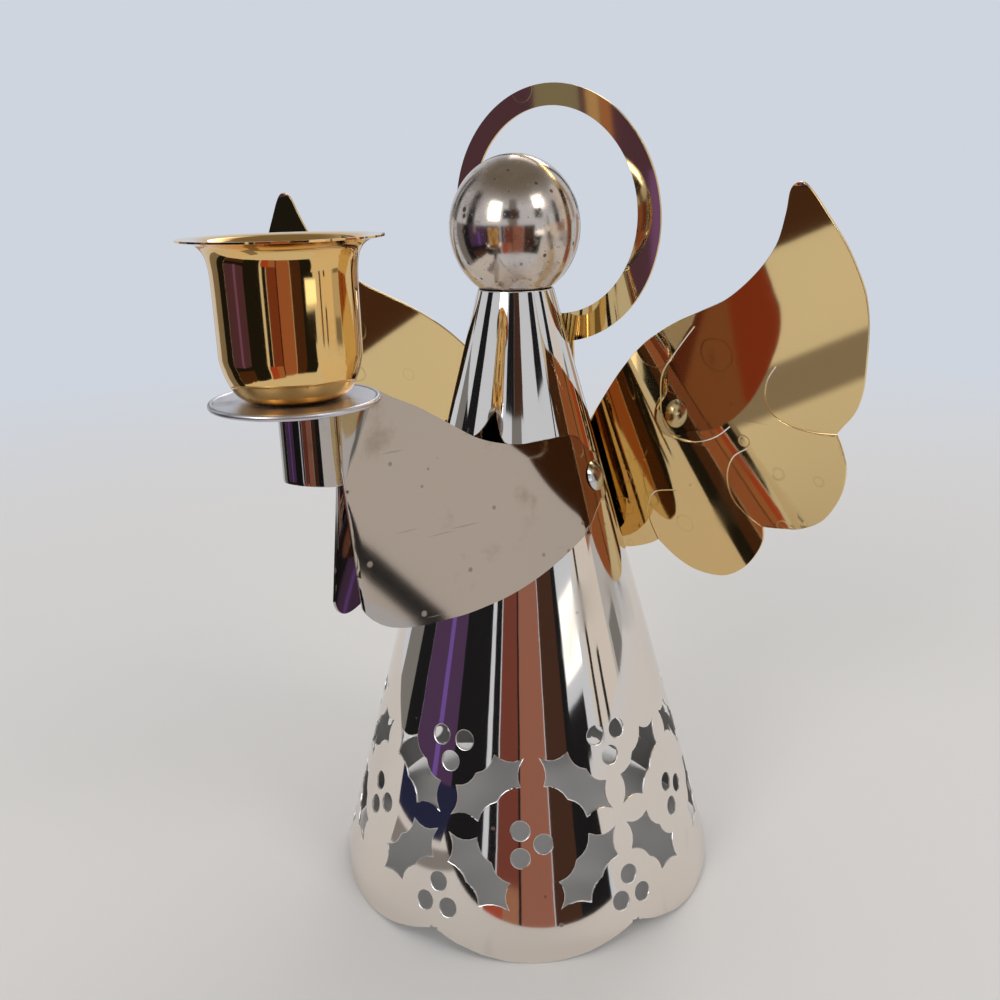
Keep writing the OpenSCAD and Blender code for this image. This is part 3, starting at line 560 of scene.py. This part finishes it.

# %% [markdown]
# ## The robe
#
# The real robe is a flat blank of nickel-plated sheet. Holly leaves and berries are punched
# out of it, its edge is cut in scallops, and it is rolled into a cone. Its CAD solid already
# has every hole at its place, so a merged copy of that mesh is a good start. What it lacks is
# the slight inward tuck of the scallops, the rounded rim that a punch leaves, and true mirror
# faces. Rings are cut across the hem with bisect, the scallops are pressed in, and the sharp
# edges are bevelled. Each face then gets the exact slope of the cone as its normal, so that
# the reflections run straight up the robe, but for the rims, which are less smooth and get a
# paler tint that is a painted highlight.

# %% Sizes of the cone, and its slope at any height
base_r, neck_r, robe_h = 47.5 * mm, 8.5 * mm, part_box("robe")[1].z
fall = (base_r - neck_r) / robe_h
tuck_h, tuck_rate, hem_rings = 5.6 * mm, 20, 8
print("the cone leans in by", round(math.degrees(math.atan(fall)), 1), "degrees")


def robe_r(z):
    return base_r - fall * z


def tuck(z):
    """How far the hem is pressed inward at a height."""
    return tuck_rate * max(0, tuck_h - z) ** 2


def robe_normal(point):
    """Direction that points straight out of the robe's sheet."""
    lean = fall - 2 * tuck_rate * max(0, tuck_h - point.z)
    return Vector((point.x, point.y, lean * math.hypot(point.x, point.y))).normalized()


# %% The robe's sheet: a merged copy of its CAD node, cut into rings at the hem and pressed in
merge_gap = 0.002 * mm
robe_sheet = new_object("robe_sheet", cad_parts["robe"].data.copy())
robe_sheet.data.materials.clear()
choose(robe_sheet)
bpy.ops.mesh.customdata_custom_splitnormals_clear()
bpy.ops.object.mode_set(mode="EDIT")
bpy.ops.mesh.select_all(action="SELECT")
bpy.ops.mesh.remove_doubles(threshold=merge_gap)
for ring in range(1, hem_rings + 1):
    bpy.ops.mesh.select_all(action="SELECT")
    bpy.ops.mesh.bisect(plane_co=(0, 0, tuck_h * ring / hem_rings), plane_no=(0, 0, 1))
bpy.ops.object.mode_set(mode="OBJECT")
for point in robe_sheet.data.vertices:
    out_r = math.hypot(point.co.x, point.co.y)
    share = (out_r - tuck(point.co.z)) / out_r
    point.co.x *= share
    point.co.y *= share
robe_sheet.data.update()
print("the hem is pressed in by up to", round(tuck(0) / mm, 2), "mm")

# %% A narrow rim round every hole and along the hem
rim_w, rim_turn, tiny = 0.2 * mm, math.radians(60), 1e-7
bpy.ops.object.mode_set(mode="EDIT")
bpy.ops.mesh.select_mode(type="EDGE")
bpy.ops.mesh.select_all(action="DESELECT")
bpy.ops.mesh.edges_select_sharp(sharpness=rim_turn)
bpy.ops.mesh.bevel(offset=rim_w, segments=2, loop_slide=False, clamp_overlap=False)
bpy.ops.mesh.select_mode(type="VERT")
bpy.ops.mesh.select_all(action="SELECT")
bpy.ops.mesh.dissolve_degenerate(threshold=tiny)
bpy.ops.object.mode_set(mode="OBJECT")
print("rims of", round(rim_w / mm, 2), "mm")

# %% Exact normals outside and inside, plain ones on the rims and cut edges
sheet_mesh = robe_sheet.data
for finish in (polished_nickel, dull_nickel, rim_nickel_with_painted_highlight):
    sheet_mesh.materials.append(finish)
outside, inside, cut = 0, 1, 2
along_sheet = 0.95
normals = [None] * len(sheet_mesh.loops)
for face in sheet_mesh.polygons:
    face.use_smooth = True
    side = face.normal.dot(robe_normal(face.center))
    face.material_index = outside if side > along_sheet else inside if side < -along_sheet else cut
    for corner in face.loop_indices:
        normal = robe_normal(sheet_mesh.vertices[sheet_mesh.loops[corner].vertex_index].co)
        normals[corner] = (normal, -normal, face.normal.copy())[face.material_index]
sheet_mesh.normals_split_custom_set(normals)
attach(robe_sheet, "angel")
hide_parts("robe")
print("robe_sheet:", len(sheet_mesh.polygons), "faces")

# %% [markdown]
# ## The head
#
# The head is a hollow ball pressed from sheet, slightly taller than wide. It starts as a
# sphere, is stretched in height, loses its lowest part, where the neck's bush sits, and gets
# a wall with Solidify.

# %% Steps that several pieces share
smooth_up_to = math.radians(40)


def box_radius(name):
    """Half the width of a CAD node."""
    low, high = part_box(name)
    return (high.x - low.x) / 2


def apply_modifier(piece, kind, **settings):
    """Adds a modifier to a piece, sets it, and applies it."""
    choose(piece)
    change = piece.modifiers.new(kind.lower(), kind)
    for name, value in settings.items():
        setattr(change, name, value)
    bpy.ops.object.modifier_apply(modifier=change.name)


def dress(piece, finish):
    """Gives a piece its one finish, and counts its faces."""
    piece.data.materials.clear()
    piece.data.materials.append(finish)
    print(piece.name, "has", len(piece.data.polygons), "faces")


# %% Head
head_r, hole_r = box_radius("head"), box_radius("head_bush") + 0.05 * mm
head_rise, head_wall = 15.6 * mm, 0.8 * mm
head_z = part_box("head")[1].z - head_rise
head_ball = add_shape("head_ball", bpy.ops.mesh.primitive_uv_sphere_add,
                      segments=160, ring_count=96, radius=head_r)
bpy.ops.object.mode_set(mode="EDIT")
bpy.ops.transform.resize(value=(1, 1, head_rise / head_r))
bpy.ops.transform.translate(value=(0, 0, head_z))
cut_z = head_z - head_rise * math.sqrt(1 - (hole_r / head_r) ** 2)
bpy.ops.mesh.bisect(plane_co=(0, 0, cut_z), plane_no=(0, 0, 1), clear_inner=True)
bpy.ops.object.mode_set(mode="OBJECT")
apply_modifier(head_ball, "SOLIDIFY", thickness=head_wall, offset=-1)
bpy.ops.object.shade_smooth_by_angle(angle=smooth_up_to)
dress(head_ball, worn_nickel)
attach(head_ball, "head")
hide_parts("head")

# %% [markdown]
# ## The halo
#
# The halo is a flat gold ring with a strip at its foot, which is bent down along the robe's
# back. Two circles bridged to each other make the ring. The strip is a plane, and the ring,
# its strip and the bent end are joined as solids with a Boolean, so that the sheet is one.

# %% Sizes of the halo
gold_t, halo_edge = 0.6 * mm, 0.12 * mm
halo_r, halo_band, hole_rise = 28.9 * mm, 5.7 * mm, 1 * mm
halo_at = Vector((0, head_r + 1.2 * mm, head_z + 1.6 * mm))
halo_lean, halo_turn, stem_w = math.radians(2.9), math.radians(4), 10 * mm
slope = math.atan(fall)
lay_gap = 0.05 * mm
stem_off = lay_gap + gold_t / 2
lean = math.tan(halo_lean)
bend_z = (base_r + stem_off / math.cos(slope) - halo_at.y - lean * halo_at.z) / (fall - lean)
print("the halo's strip bends at", round(bend_z / mm, 1), "mm")


# %% Steps for flat pieces
def thicken(piece, thickness):
    """Gives a flat sheet its thickness, on both sides of its middle."""
    apply_modifier(piece, "SOLIDIFY", thickness=thickness, offset=0)


def soften(piece, edge, segments=3):
    """Rounds the edges of a sheet a little, so that they catch the light."""
    apply_modifier(piece, "BEVEL", width=edge, segments=segments, limit_method="ANGLE",
                   angle_limit=smooth_up_to)
    bpy.ops.object.shade_smooth_by_angle(angle=smooth_up_to)


def even_normals(piece):
    """Lets each large face rule the normals at its rim, so that flat sheet mirrors as such."""
    apply_modifier(piece, "WEIGHTED_NORMAL", weight=100, keep_sharp=True)


def weld(piece, other):
    """Joins another solid to a piece, and removes the other one."""
    apply_modifier(piece, "BOOLEAN", operation="UNION", solver="EXACT", object=other)
    bpy.data.objects.remove(other)


def strip_between(name, first, second, width):
    """A flat strip of a width along X between two points in the middle plane."""
    strip = add_shape(name, bpy.ops.mesh.primitive_plane_add, size=1)
    for point in strip.data.vertices:
        end = second if point.co.y > 0 else first
        point.co = Vector((width if point.co.x > 0 else -width, 0, 0)) / 2 + end
    strip.data.update()
    return strip


# %% Ring and upper strip, in the halo's own plane
circle_steps = 256
halo_ring = add_shape("halo_ring", bpy.ops.mesh.primitive_circle_add,
                      vertices=circle_steps, radius=halo_r)
bpy.ops.object.mode_set(mode="EDIT")
bpy.ops.mesh.primitive_circle_add(vertices=circle_steps, radius=halo_r - halo_band,
                                  location=(0, hole_rise, 0))
bpy.ops.mesh.select_all(action="SELECT")
bpy.ops.mesh.bridge_edge_loops()
bpy.ops.object.mode_set(mode="OBJECT")
thicken(halo_ring, gold_t)
reach = (halo_at.z - bend_z) / math.cos(halo_lean)
stem = strip_between("stem", Vector((0, -reach, 0)), Vector((0, -halo_r + halo_band / 2, 0)), stem_w)
thicken(stem, gold_t)
weld(halo_ring, stem)
halo_ring.matrix_world = (Matrix.Translation(halo_at) @ Matrix.Rotation(-halo_turn, 4, "Z")
                          @ Matrix.Rotation(math.pi / 2 + halo_lean, 4, "X"))
choose(halo_ring)
bpy.ops.object.transform_apply(location=True, rotation=True, scale=True)


# %% The bent end on the robe's back, and the rounding
def behind_robe(z, off=0.0):
    """A point behind the robe, measured square to its sheet."""
    return Vector((0, robe_r(z) + off * math.cos(slope), z + off * math.sin(slope)))


stem_low_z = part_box("halo")[0].z - (stem_off - gold_t / 2) * math.sin(slope)
strip_end = strip_between("strip_end", behind_robe(stem_low_z, stem_off),
                          behind_robe(bend_z - stem_off * math.sin(slope), stem_off), stem_w)
thicken(strip_end, gold_t)
weld(halo_ring, strip_end)
soften(halo_ring, halo_edge)
even_normals(halo_ring)
dress(halo_ring, polished_gold)
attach(halo_ring, "angel")
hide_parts("halo")

# %% [markdown]
# ## The wings
#
# Both wings are one gold sheet, folded along two lines beside the middle. Four feathers are
# cut into its edge and three slits run in from the notches between them, with a fourth one
# inside the near wing. Such an outline is traced best with a flat curve. The curve is filled,
# given its thickness and rounded edges, and made a mesh, which is then turned to its fold.

# %% Outline of the left wing, as shares of its reach and of its rise above the fold's datum
wing_reach, wing_up, wing_z = 78.8 * mm, 65.4 * mm, 104 * mm
wing_sweep, wing_flat, slit_w, wing_edge = math.radians(8.5), 10 * mm, 0.16 * mm, 0.1 * mm
fold_low, fold_high = -0.43 * wing_up, 0.02 * wing_up
top_edge = [(0.064, 0.02), (0.113, 0.099), (0.188, 0.223), (0.264, 0.339), (0.352, 0.448),
            (0.452, 0.531), (0.543, 0.587), (0.629, 0.641), (0.713, 0.729), (0.77, 0.818),
            (0.798, 0.91), (0.813, 0.98)]
feathers = [
    [(0.838, 1), (0.863, 0.98), (0.905, 0.908), (0.944, 0.836), (0.971, 0.768), (0.992, 0.694),
     (1, 0.604), (0.996, 0.5), (0.987, 0.399), (0.967, 0.324), (0.935, 0.269), (0.918, 0.24)],
    [(0.918, 0.24), (0.933, 0.19), (0.943, 0.125), (0.935, 0.05), (0.912, -0.02),
     (0.873, -0.089), (0.813, -0.138), (0.756, -0.157), (0.697, -0.17)],
    [(0.697, -0.17), (0.694, -0.228), (0.669, -0.295), (0.629, -0.362), (0.57, -0.42),
     (0.509, -0.44), (0.442, -0.436), (0.382, -0.404), (0.327, -0.352)],
    [(0.327, -0.352), (0.291, -0.382), (0.232, -0.417), (0.179, -0.437), (0.12, -0.44),
     (0.064, -0.43)],
]
slits = [
    [(0.758, 0.437), (0.732, 0.385), (0.725, 0.324), (0.742, 0.272), (0.79, 0.242),
     (0.854, 0.232), (0.918, 0.24)],
    [(0.662, 0.125), (0.617, 0.083), (0.594, 0.014), (0.599, -0.064), (0.632, -0.122),
     (0.697, -0.17)],
    [(0.411, -0.109), (0.332, -0.142), (0.303, -0.216), (0.305, -0.278), (0.327, -0.352)],
]
inner_slit = [(0.524, 0.534), (0.46, 0.44), (0.406, 0.347), (0.392, 0.25), (0.39, 0.19),
              (0.405, 0.135), (0.445, 0.104), (0.51, 0.113), (0.567, 0.147), (0.612, 0.195)]


# %% Smooth lines through the traced points
def soft_curve(spots, steps):
    """More points along a soft curve through the given ones."""
    line = []
    for i in range(len(spots) - 1):
        before, start, end, after = (spots[max(i - 1, 0)], spots[i], spots[i + 1],
                                     spots[min(i + 2, len(spots) - 1)])
        for t in (step / steps for step in range(steps)):
            line.append((2 * start + (end - before) * t
                         + (2 * before - 5 * start + 4 * end - after) * t * t
                         + (3 * start - before - 3 * end + after) * t ** 3) / 2)
    return line + [spots[-1]]


def wing_line(shares):
    """A soft curve in the wing's own plane."""
    return soft_curve([Vector((x * wing_reach, y * wing_up)) for x, y in shares], 8)


def both_sides(line):
    """The two sides of a thin slit along a line."""
    sides = ([], [])
    for i, spot in enumerate(line):
        run = line[min(i + 1, len(line) - 1)] - line[max(i - 1, 0)]
        across = Vector((-run.y, run.x)).normalized() * slit_w / 2
        sides[0].append(spot + across)
        sides[1].append(spot - across)
    return sides


# %% The closed outline: each slit is a detour from its notch and back
outline = wing_line(top_edge + feathers[0])
for feather, slit in zip(feathers[1:], slits):
    one, other = both_sides(wing_line(slit))
    outline = outline[:-1] + one[::-1] + other + wing_line(feather)[1:]
half_t = gold_t / 2
outline += [Vector((wing_flat / 2 - half_t, fold_low + half_t)),
            Vector((wing_flat / 2 - half_t, fold_high - half_t))]
one, other = both_sides(wing_line(inner_slit))
window = one + other[::-1]
print("the wing's outline has", len(outline), "points")


def flat_sheet(name, outlines, thickness, edge):
    """A filled flat curve with a thickness and rounded edges, made a mesh."""
    drawing = bpy.data.curves.new(name, "CURVE")
    drawing.dimensions = "2D"
    drawing.fill_mode = "BOTH"
    for closed_line in outlines:
        spline = drawing.splines.new("POLY")
        spline.points.add(len(closed_line) - 1)
        for point, spot in zip(spline.points, closed_line):
            point.co = (spot.x, spot.y, 0, 1)
        spline.use_cyclic_u = True
    drawing.bevel_depth = edge
    drawing.bevel_resolution = 2
    drawing.offset = -edge
    drawing.extrude = thickness / 2 - edge
    choose(new_object(name, drawing))
    bpy.ops.object.convert(target="MESH")
    bpy.ops.object.mode_set(mode="EDIT")
    bpy.ops.mesh.select_all(action="SELECT")
    bpy.ops.mesh.remove_doubles(threshold=merge_gap)
    bpy.ops.object.mode_set(mode="OBJECT")
    return bpy.context.object


# %% Place of the folded sheet on the robe's back
wing_off = 2 * lay_gap + gold_t
on_back = (Matrix.Translation(behind_robe(wing_z)) @ Matrix.Rotation(slope, 4, "X")
           @ Matrix.Translation((0, wing_off, 0)))
folded = (on_back @ Matrix.Translation((wing_flat / 2, 0, 0))
          @ Matrix.Rotation(-wing_sweep, 4, "Z")
          @ Matrix.Translation((-wing_flat / 2, half_t, 0)) @ Matrix.Rotation(math.pi / 2, 4, "X"))
wing_sheet = flat_sheet("wing_sheet", [outline, window], gold_t, wing_edge)
wing_sheet.data.transform(folded)
print("one wing:", len(wing_sheet.data.polygons), "faces")

# %% The other wing, on which no inner slit shows, and the flat middle
other_wing = flat_sheet("other_wing", [outline], gold_t, wing_edge)
other_wing.data.transform(Matrix.Scale(-1, 4, (1, 0, 0)) @ folded)
bpy.ops.object.mode_set(mode="EDIT")
bpy.ops.mesh.select_all(action="SELECT")
bpy.ops.mesh.normals_make_consistent(inside=False)
bpy.ops.object.mode_set(mode="OBJECT")
middle = add_shape("middle", bpy.ops.mesh.primitive_cube_add, size=1)
middle.data.transform(on_back @ Matrix.Translation((0, half_t, (fold_low + fold_high) / 2))
                      @ Matrix.Diagonal((wing_flat, gold_t, fold_high - fold_low, 1)))
choose(wing_sheet)
other_wing.select_set(True)
middle.select_set(True)
bpy.ops.object.join()
bpy.ops.object.shade_smooth_by_angle(angle=smooth_up_to)
even_normals(wing_sheet)
dress(wing_sheet, polished_gold)
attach(wing_sheet, "angel")
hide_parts("wings")

# %% [markdown]
# ## The arms
#
# Both sleeves and the joined hands are one strip of sheet. It is bent round a tube at the
# front, pinched behind it, and spread out into two sleeves that are riveted to the robe's
# sides. A grid is laid out flat and its points are then moved to the bent shape, column by
# column, with rows close enough together for smooth reflections. Solidify gives the sheet
# its thickness and Bevel its worn edges.

# %% Sizes of the strip, from the CAD node's box and the drawing
sheet_t, arm_edge = 0.5 * mm, 0.1 * mm
arms_top, sleeve_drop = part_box("arms")[1].z, 48.6 * mm
hands_r, cup_y = 5.2 * mm, 69.8 * mm
hands_mid_r = hands_r - sheet_t / 2
hands_y = -cup_y + hands_r / 2
hands_low, hands_rise = arms_top - 16.3 * mm, 2 * mm
pinch_x = (sheet_t + 0.3 * mm) / 2
pinch_y = hands_y + hands_r + 1.8 * mm
part_rate, forward_rate, knee = 0.14, 0.03, 0.35 * mm
arm_off = (lay_gap + sheet_t / 2) / math.cos(slope)
rivet_z = arms_top - 0.578 * sleeve_drop
rivet_angle, sleeve_end_r = math.radians(92), 5.6 * mm
upper_edge = [(0, 0), (0.13, 0), (0.24, 0.066), (0.343, 0.128), (0.467, 0.222), (0.563, 0.292),
              (0.655, 0.333), (0.749, 0.358), (0.842, 0.364), (1, 0.366)]
lower_edge = [(0, 0.82), (0.006, 0.86), (0.04, 0.915), (0.09, 0.955), (0.154, 0.98),
              (0.23, 0.993), (0.32, 0.997), (0.41, 1), (0.5, 0.993), (0.6, 0.98), (0.7, 0.955),
              (0.8, 0.92), (0.89, 0.88), (1, 0.82)]
tab_upper = [(0, 1), (0.35, 0.857), (0.7, 0.452), (1, 0)]
tab_lower = [(0, 1), (0.35, 0.615), (0.7, 0.23), (1, 0)]


def along(table, x):
    """Height of a soft curve through the points of a table."""
    for i in range(len(table) - 1):
        (x0, y0), (x1, y1) = table[i], table[i + 1]
        if x <= x1 or i == len(table) - 2:
            xa, ya = table[max(i - 1, 0)]
            xb, yb = table[min(i + 2, len(table) - 1)]
            run, t = x1 - x0, (x - x0) / (x1 - x0)
            first = (y1 - ya) / (x1 - xa) * run
            last = (yb - y0) / (xb - x0) * run
            return (y0 * (1 + 2 * t) * (1 - t) ** 2 + first * t * (1 - t) ** 2
                    + y1 * t * t * (3 - 2 * t) + last * t * t * (t - 1))


# %% Points of the bent sheet's middle
def robe_point(angle, z):
    """A point just off the robe, where the sheet's middle lies on it."""
    return outward(angle) * (robe_r(z) + arm_off) + Vector((0, 0, z))


def sleeve_front(z):
    """Where a sleeve starts behind the hands. Below them it parts from the other one."""
    below = hands_low - z
    return Vector((part_rate * below, pinch_y - forward_rate * below, 0))


def meet_angle(z):
    """Angle from the front at which the sleeve meets the robe's surface."""
    front = sleeve_front(z)
    return math.atan2(front.x, -front.y) + math.acos((robe_r(z) + arm_off) / front.length)


def sleeve_point(way, z):
    """A point between the sleeve's front and the robe, with a soft knee for a crease."""
    back = robe_point(meet_angle(z), 0) * (robe_r(z) + arm_off) / (robe_r(0) + arm_off)
    spot = sleeve_front(z).lerp(back, way)
    x = pinch_x + (spot.x - pinch_x + math.hypot(spot.x - pinch_x, knee)) / 2
    return Vector((x, spot.y, z))


# %% Columns of the grid, from the front of the tube to the rivet
rows, sleeve_steps, tab_steps, end_steps = 25, 60, 16, 12


def column(low, high, point_at):
    return [point_at(low + (high - low) * row / (rows - 1)) for row in range(rows)]


def hands_column(angle):
    low = hands_low + hands_rise * (1 + math.cos(angle)) / 2
    return column(low, arms_top, lambda z: Vector(
        (hands_mid_r * math.sin(angle), hands_y - hands_mid_r * math.cos(angle), z)))


def sleeve_column(way):
    return column(arms_top - sleeve_drop * along(lower_edge, way),
                  arms_top - sleeve_drop * along(upper_edge, way),
                  lambda z: sleeve_point(way, z))


def tab_column(way):
    high_end = arms_top - sleeve_drop * along(upper_edge, 1)
    low_end = arms_top - sleeve_drop * along(lower_edge, 1)
    high = rivet_z + sleeve_end_r + (high_end - rivet_z - sleeve_end_r) * along(tab_upper, way)
    low = rivet_z - sleeve_end_r + (low_end - rivet_z + sleeve_end_r) * along(tab_lower, way)
    return column(low, high, lambda z: robe_point(
        meet_angle(z) * (1 - way) + rivet_angle * way, z))


def end_column(turn):
    half = sleeve_end_r * math.cos(turn) + lay_gap
    angle = rivet_angle + sleeve_end_r / robe_r(rivet_z) * math.sin(turn)
    return column(rivet_z - half, rivet_z + half, lambda z: robe_point(angle, z))


left_side = ([hands_column(math.radians(a)) for a in range(5, 156, 5)]
             + [column(hands_low, arms_top, lambda z: Vector((pinch_x, pinch_y - 0.2 * mm, z)))]
             + [sleeve_column(w) for w in (0.006, 0.02, 0.04, 0.065)]
             + [sleeve_column(i / sleeve_steps) for i in range(5, sleeve_steps + 1)]
             + [tab_column(i / tab_steps) for i in range(1, tab_steps + 1)]
             + [end_column(math.pi / 2 * i / end_steps) for i in range(1, end_steps + 1)])
right_side = [[Vector((-p.x, p.y, p.z)) for p in c] for c in reversed(left_side)]
columns = right_side + [hands_column(0)] + left_side
print(len(columns), "columns of", rows, "points")

# %% The strip: a grid whose points are moved to the columns
arm_strip = add_shape("arm_strip", bpy.ops.mesh.primitive_grid_add, size=1,
                      x_subdivisions=len(columns) - 1, y_subdivisions=rows - 1)
for point in arm_strip.data.vertices:
    i = round((point.co.x + 0.5) * (len(columns) - 1))
    j = round((point.co.y + 0.5) * (rows - 1))
    point.co = columns[i][j]
arm_strip.data.update()
thicken(arm_strip, sheet_t)
soften(arm_strip, arm_edge, segments=2)
even_normals(arm_strip)
dress(arm_strip, satin_nickel)
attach(arm_strip, "angel")
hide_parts("arms")

# %% [markdown]
# ## The drip pan and the candle cup
#
# Both are round pressings, so each is one half section that is spun once round the cup's
# axis. The section is drawn as a chain of points, with enough of them in the bends for
# smooth reflections, and the spin's doubles are merged at the end.

# %% Spinning a section
cup_axis = Vector((0, -cup_y, 0))
spin_steps = 144


def spun(name, section):
    """Turns a chain of (radius, height) points once round the cup's axis."""
    half = bpy.data.meshes.new(name)
    half.from_pydata([(r, -cup_y, z) for r, z in section],
                     [(i, i + 1) for i in range(len(section) - 1)], [])
    piece = choose(new_object(name, half))
    bpy.ops.object.mode_set(mode="EDIT")
    bpy.ops.mesh.select_all(action="SELECT")
    bpy.ops.mesh.spin(steps=spin_steps, angle=2 * math.pi, center=cup_axis, axis=(0, 0, 1))
    bpy.ops.mesh.select_all(action="SELECT")
    bpy.ops.mesh.remove_doubles(threshold=merge_gap)
    bpy.ops.mesh.normals_make_consistent(inside=False)
    bpy.ops.object.mode_set(mode="OBJECT")
    bpy.ops.object.shade_smooth_by_angle(angle=smooth_up_to)
    return piece


def soft_chain(points):
    """A chain of points along a soft curve through the given ones."""
    return [tuple(spot) for spot in soft_curve([Vector(p) for p in points], 6)]


# %% Drip pan: a flat disc with a round rim and a hole for the screw
pan_low, pan_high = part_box("drip_pan")
pan_r, rim_r, pan_half_t, flat_r, screw_hole = (v * mm for v in (14.9, 0.55, 0.35, 6, 1.05))
rim_z = (pan_low.z + pan_high.z) / 2
flat_low, flat_high = rim_z - pan_half_t, rim_z + pan_half_t
rim_start, rim_steps = math.asin(pan_half_t / rim_r) - math.pi, 24
rim_arc = [(pan_r - rim_r + rim_r * math.cos(a), rim_z + rim_r * math.sin(a))
           for a in [rim_start - 2 * rim_start * i / rim_steps for i in range(rim_steps + 1)]]
drip_disc = spun("drip_disc", [
    (screw_hole, flat_low), (flat_r, flat_low), *rim_arc, (flat_r, flat_high),
    (screw_hole, flat_high), (screw_hole, flat_low)])
dress(drip_disc, pan_nickel)
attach(drip_disc, "angel")
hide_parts("drip_pan")

# %% Candle cup: flat foot, round bottom, straight wall and a flared rim
cup_low, cup_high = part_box("candle_cup")
bore_r, cup_wall, rim_out, foot_r, cup_h, bowl_h, cup_hole = (
    v * mm for v in (11.6, 0.6, 17.1, 8.2, 27, 6.2, 1.57))
body_r, cup_floor = bore_r + cup_wall, cup_low.z + cup_wall
bowl = [(foot_r + x * (body_r - foot_r), cup_low.z + y * bowl_h)
        for x, y in [(0, 0), (0.45, 0.2), (0.78, 0.62), (0.95, 1), (1, 1.2)]]
lip = [(body_r + x * (rim_out - body_r), cup_high.z - y * cup_h)
       for x, y in [(0, 0.3), (0.03, 0.18), (0.15, 0.09), (0.45, 0.035), (1, 0.012)]]
inner_lip = [(bore_r + x * (rim_out - bore_r), cup_high.z - y * cup_h)
             for x, y in [(1, 0), (0.42, 0.012), (0.1, 0.085), (0, 0.2)]]
inner_bowl = [(foot_r + x * (bore_r - foot_r), cup_floor + y * bowl_h)
              for x, y in [(1, 1.15), (0.94, 0.92), (0.753, 0.56), (0.41, 0.17), (0, 0)]]
cup_bell = spun("cup_bell", [
    (cup_hole, cup_low.z), *soft_chain(bowl), *soft_chain(lip), *soft_chain(inner_lip),
    *soft_chain(inner_bowl), (cup_hole, cup_floor), (cup_hole, cup_low.z)])
dress(cup_bell, cup_gold)
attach(cup_bell, "cup")
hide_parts("candle_cup")

# %% [markdown]
# ## The fasteners and the inner fittings
#
# The screws, nuts, washers, rivets, the neck plug and the bush are small and plain. Their CAD
# shapes are right, so they stay as they are and only take a finish.

# %% Finishes for the CAD nodes that stay
for name in ("head_screw", "head_washer", "back_screw", "back_washer", "back_nut", "arm_rivets",
             "cup_screw", "cup_nut"):
    dress(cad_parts[name], fastener_nickel)
for name in ("neck_plug", "head_bush"):
    dress(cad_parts[name], plain_brass)
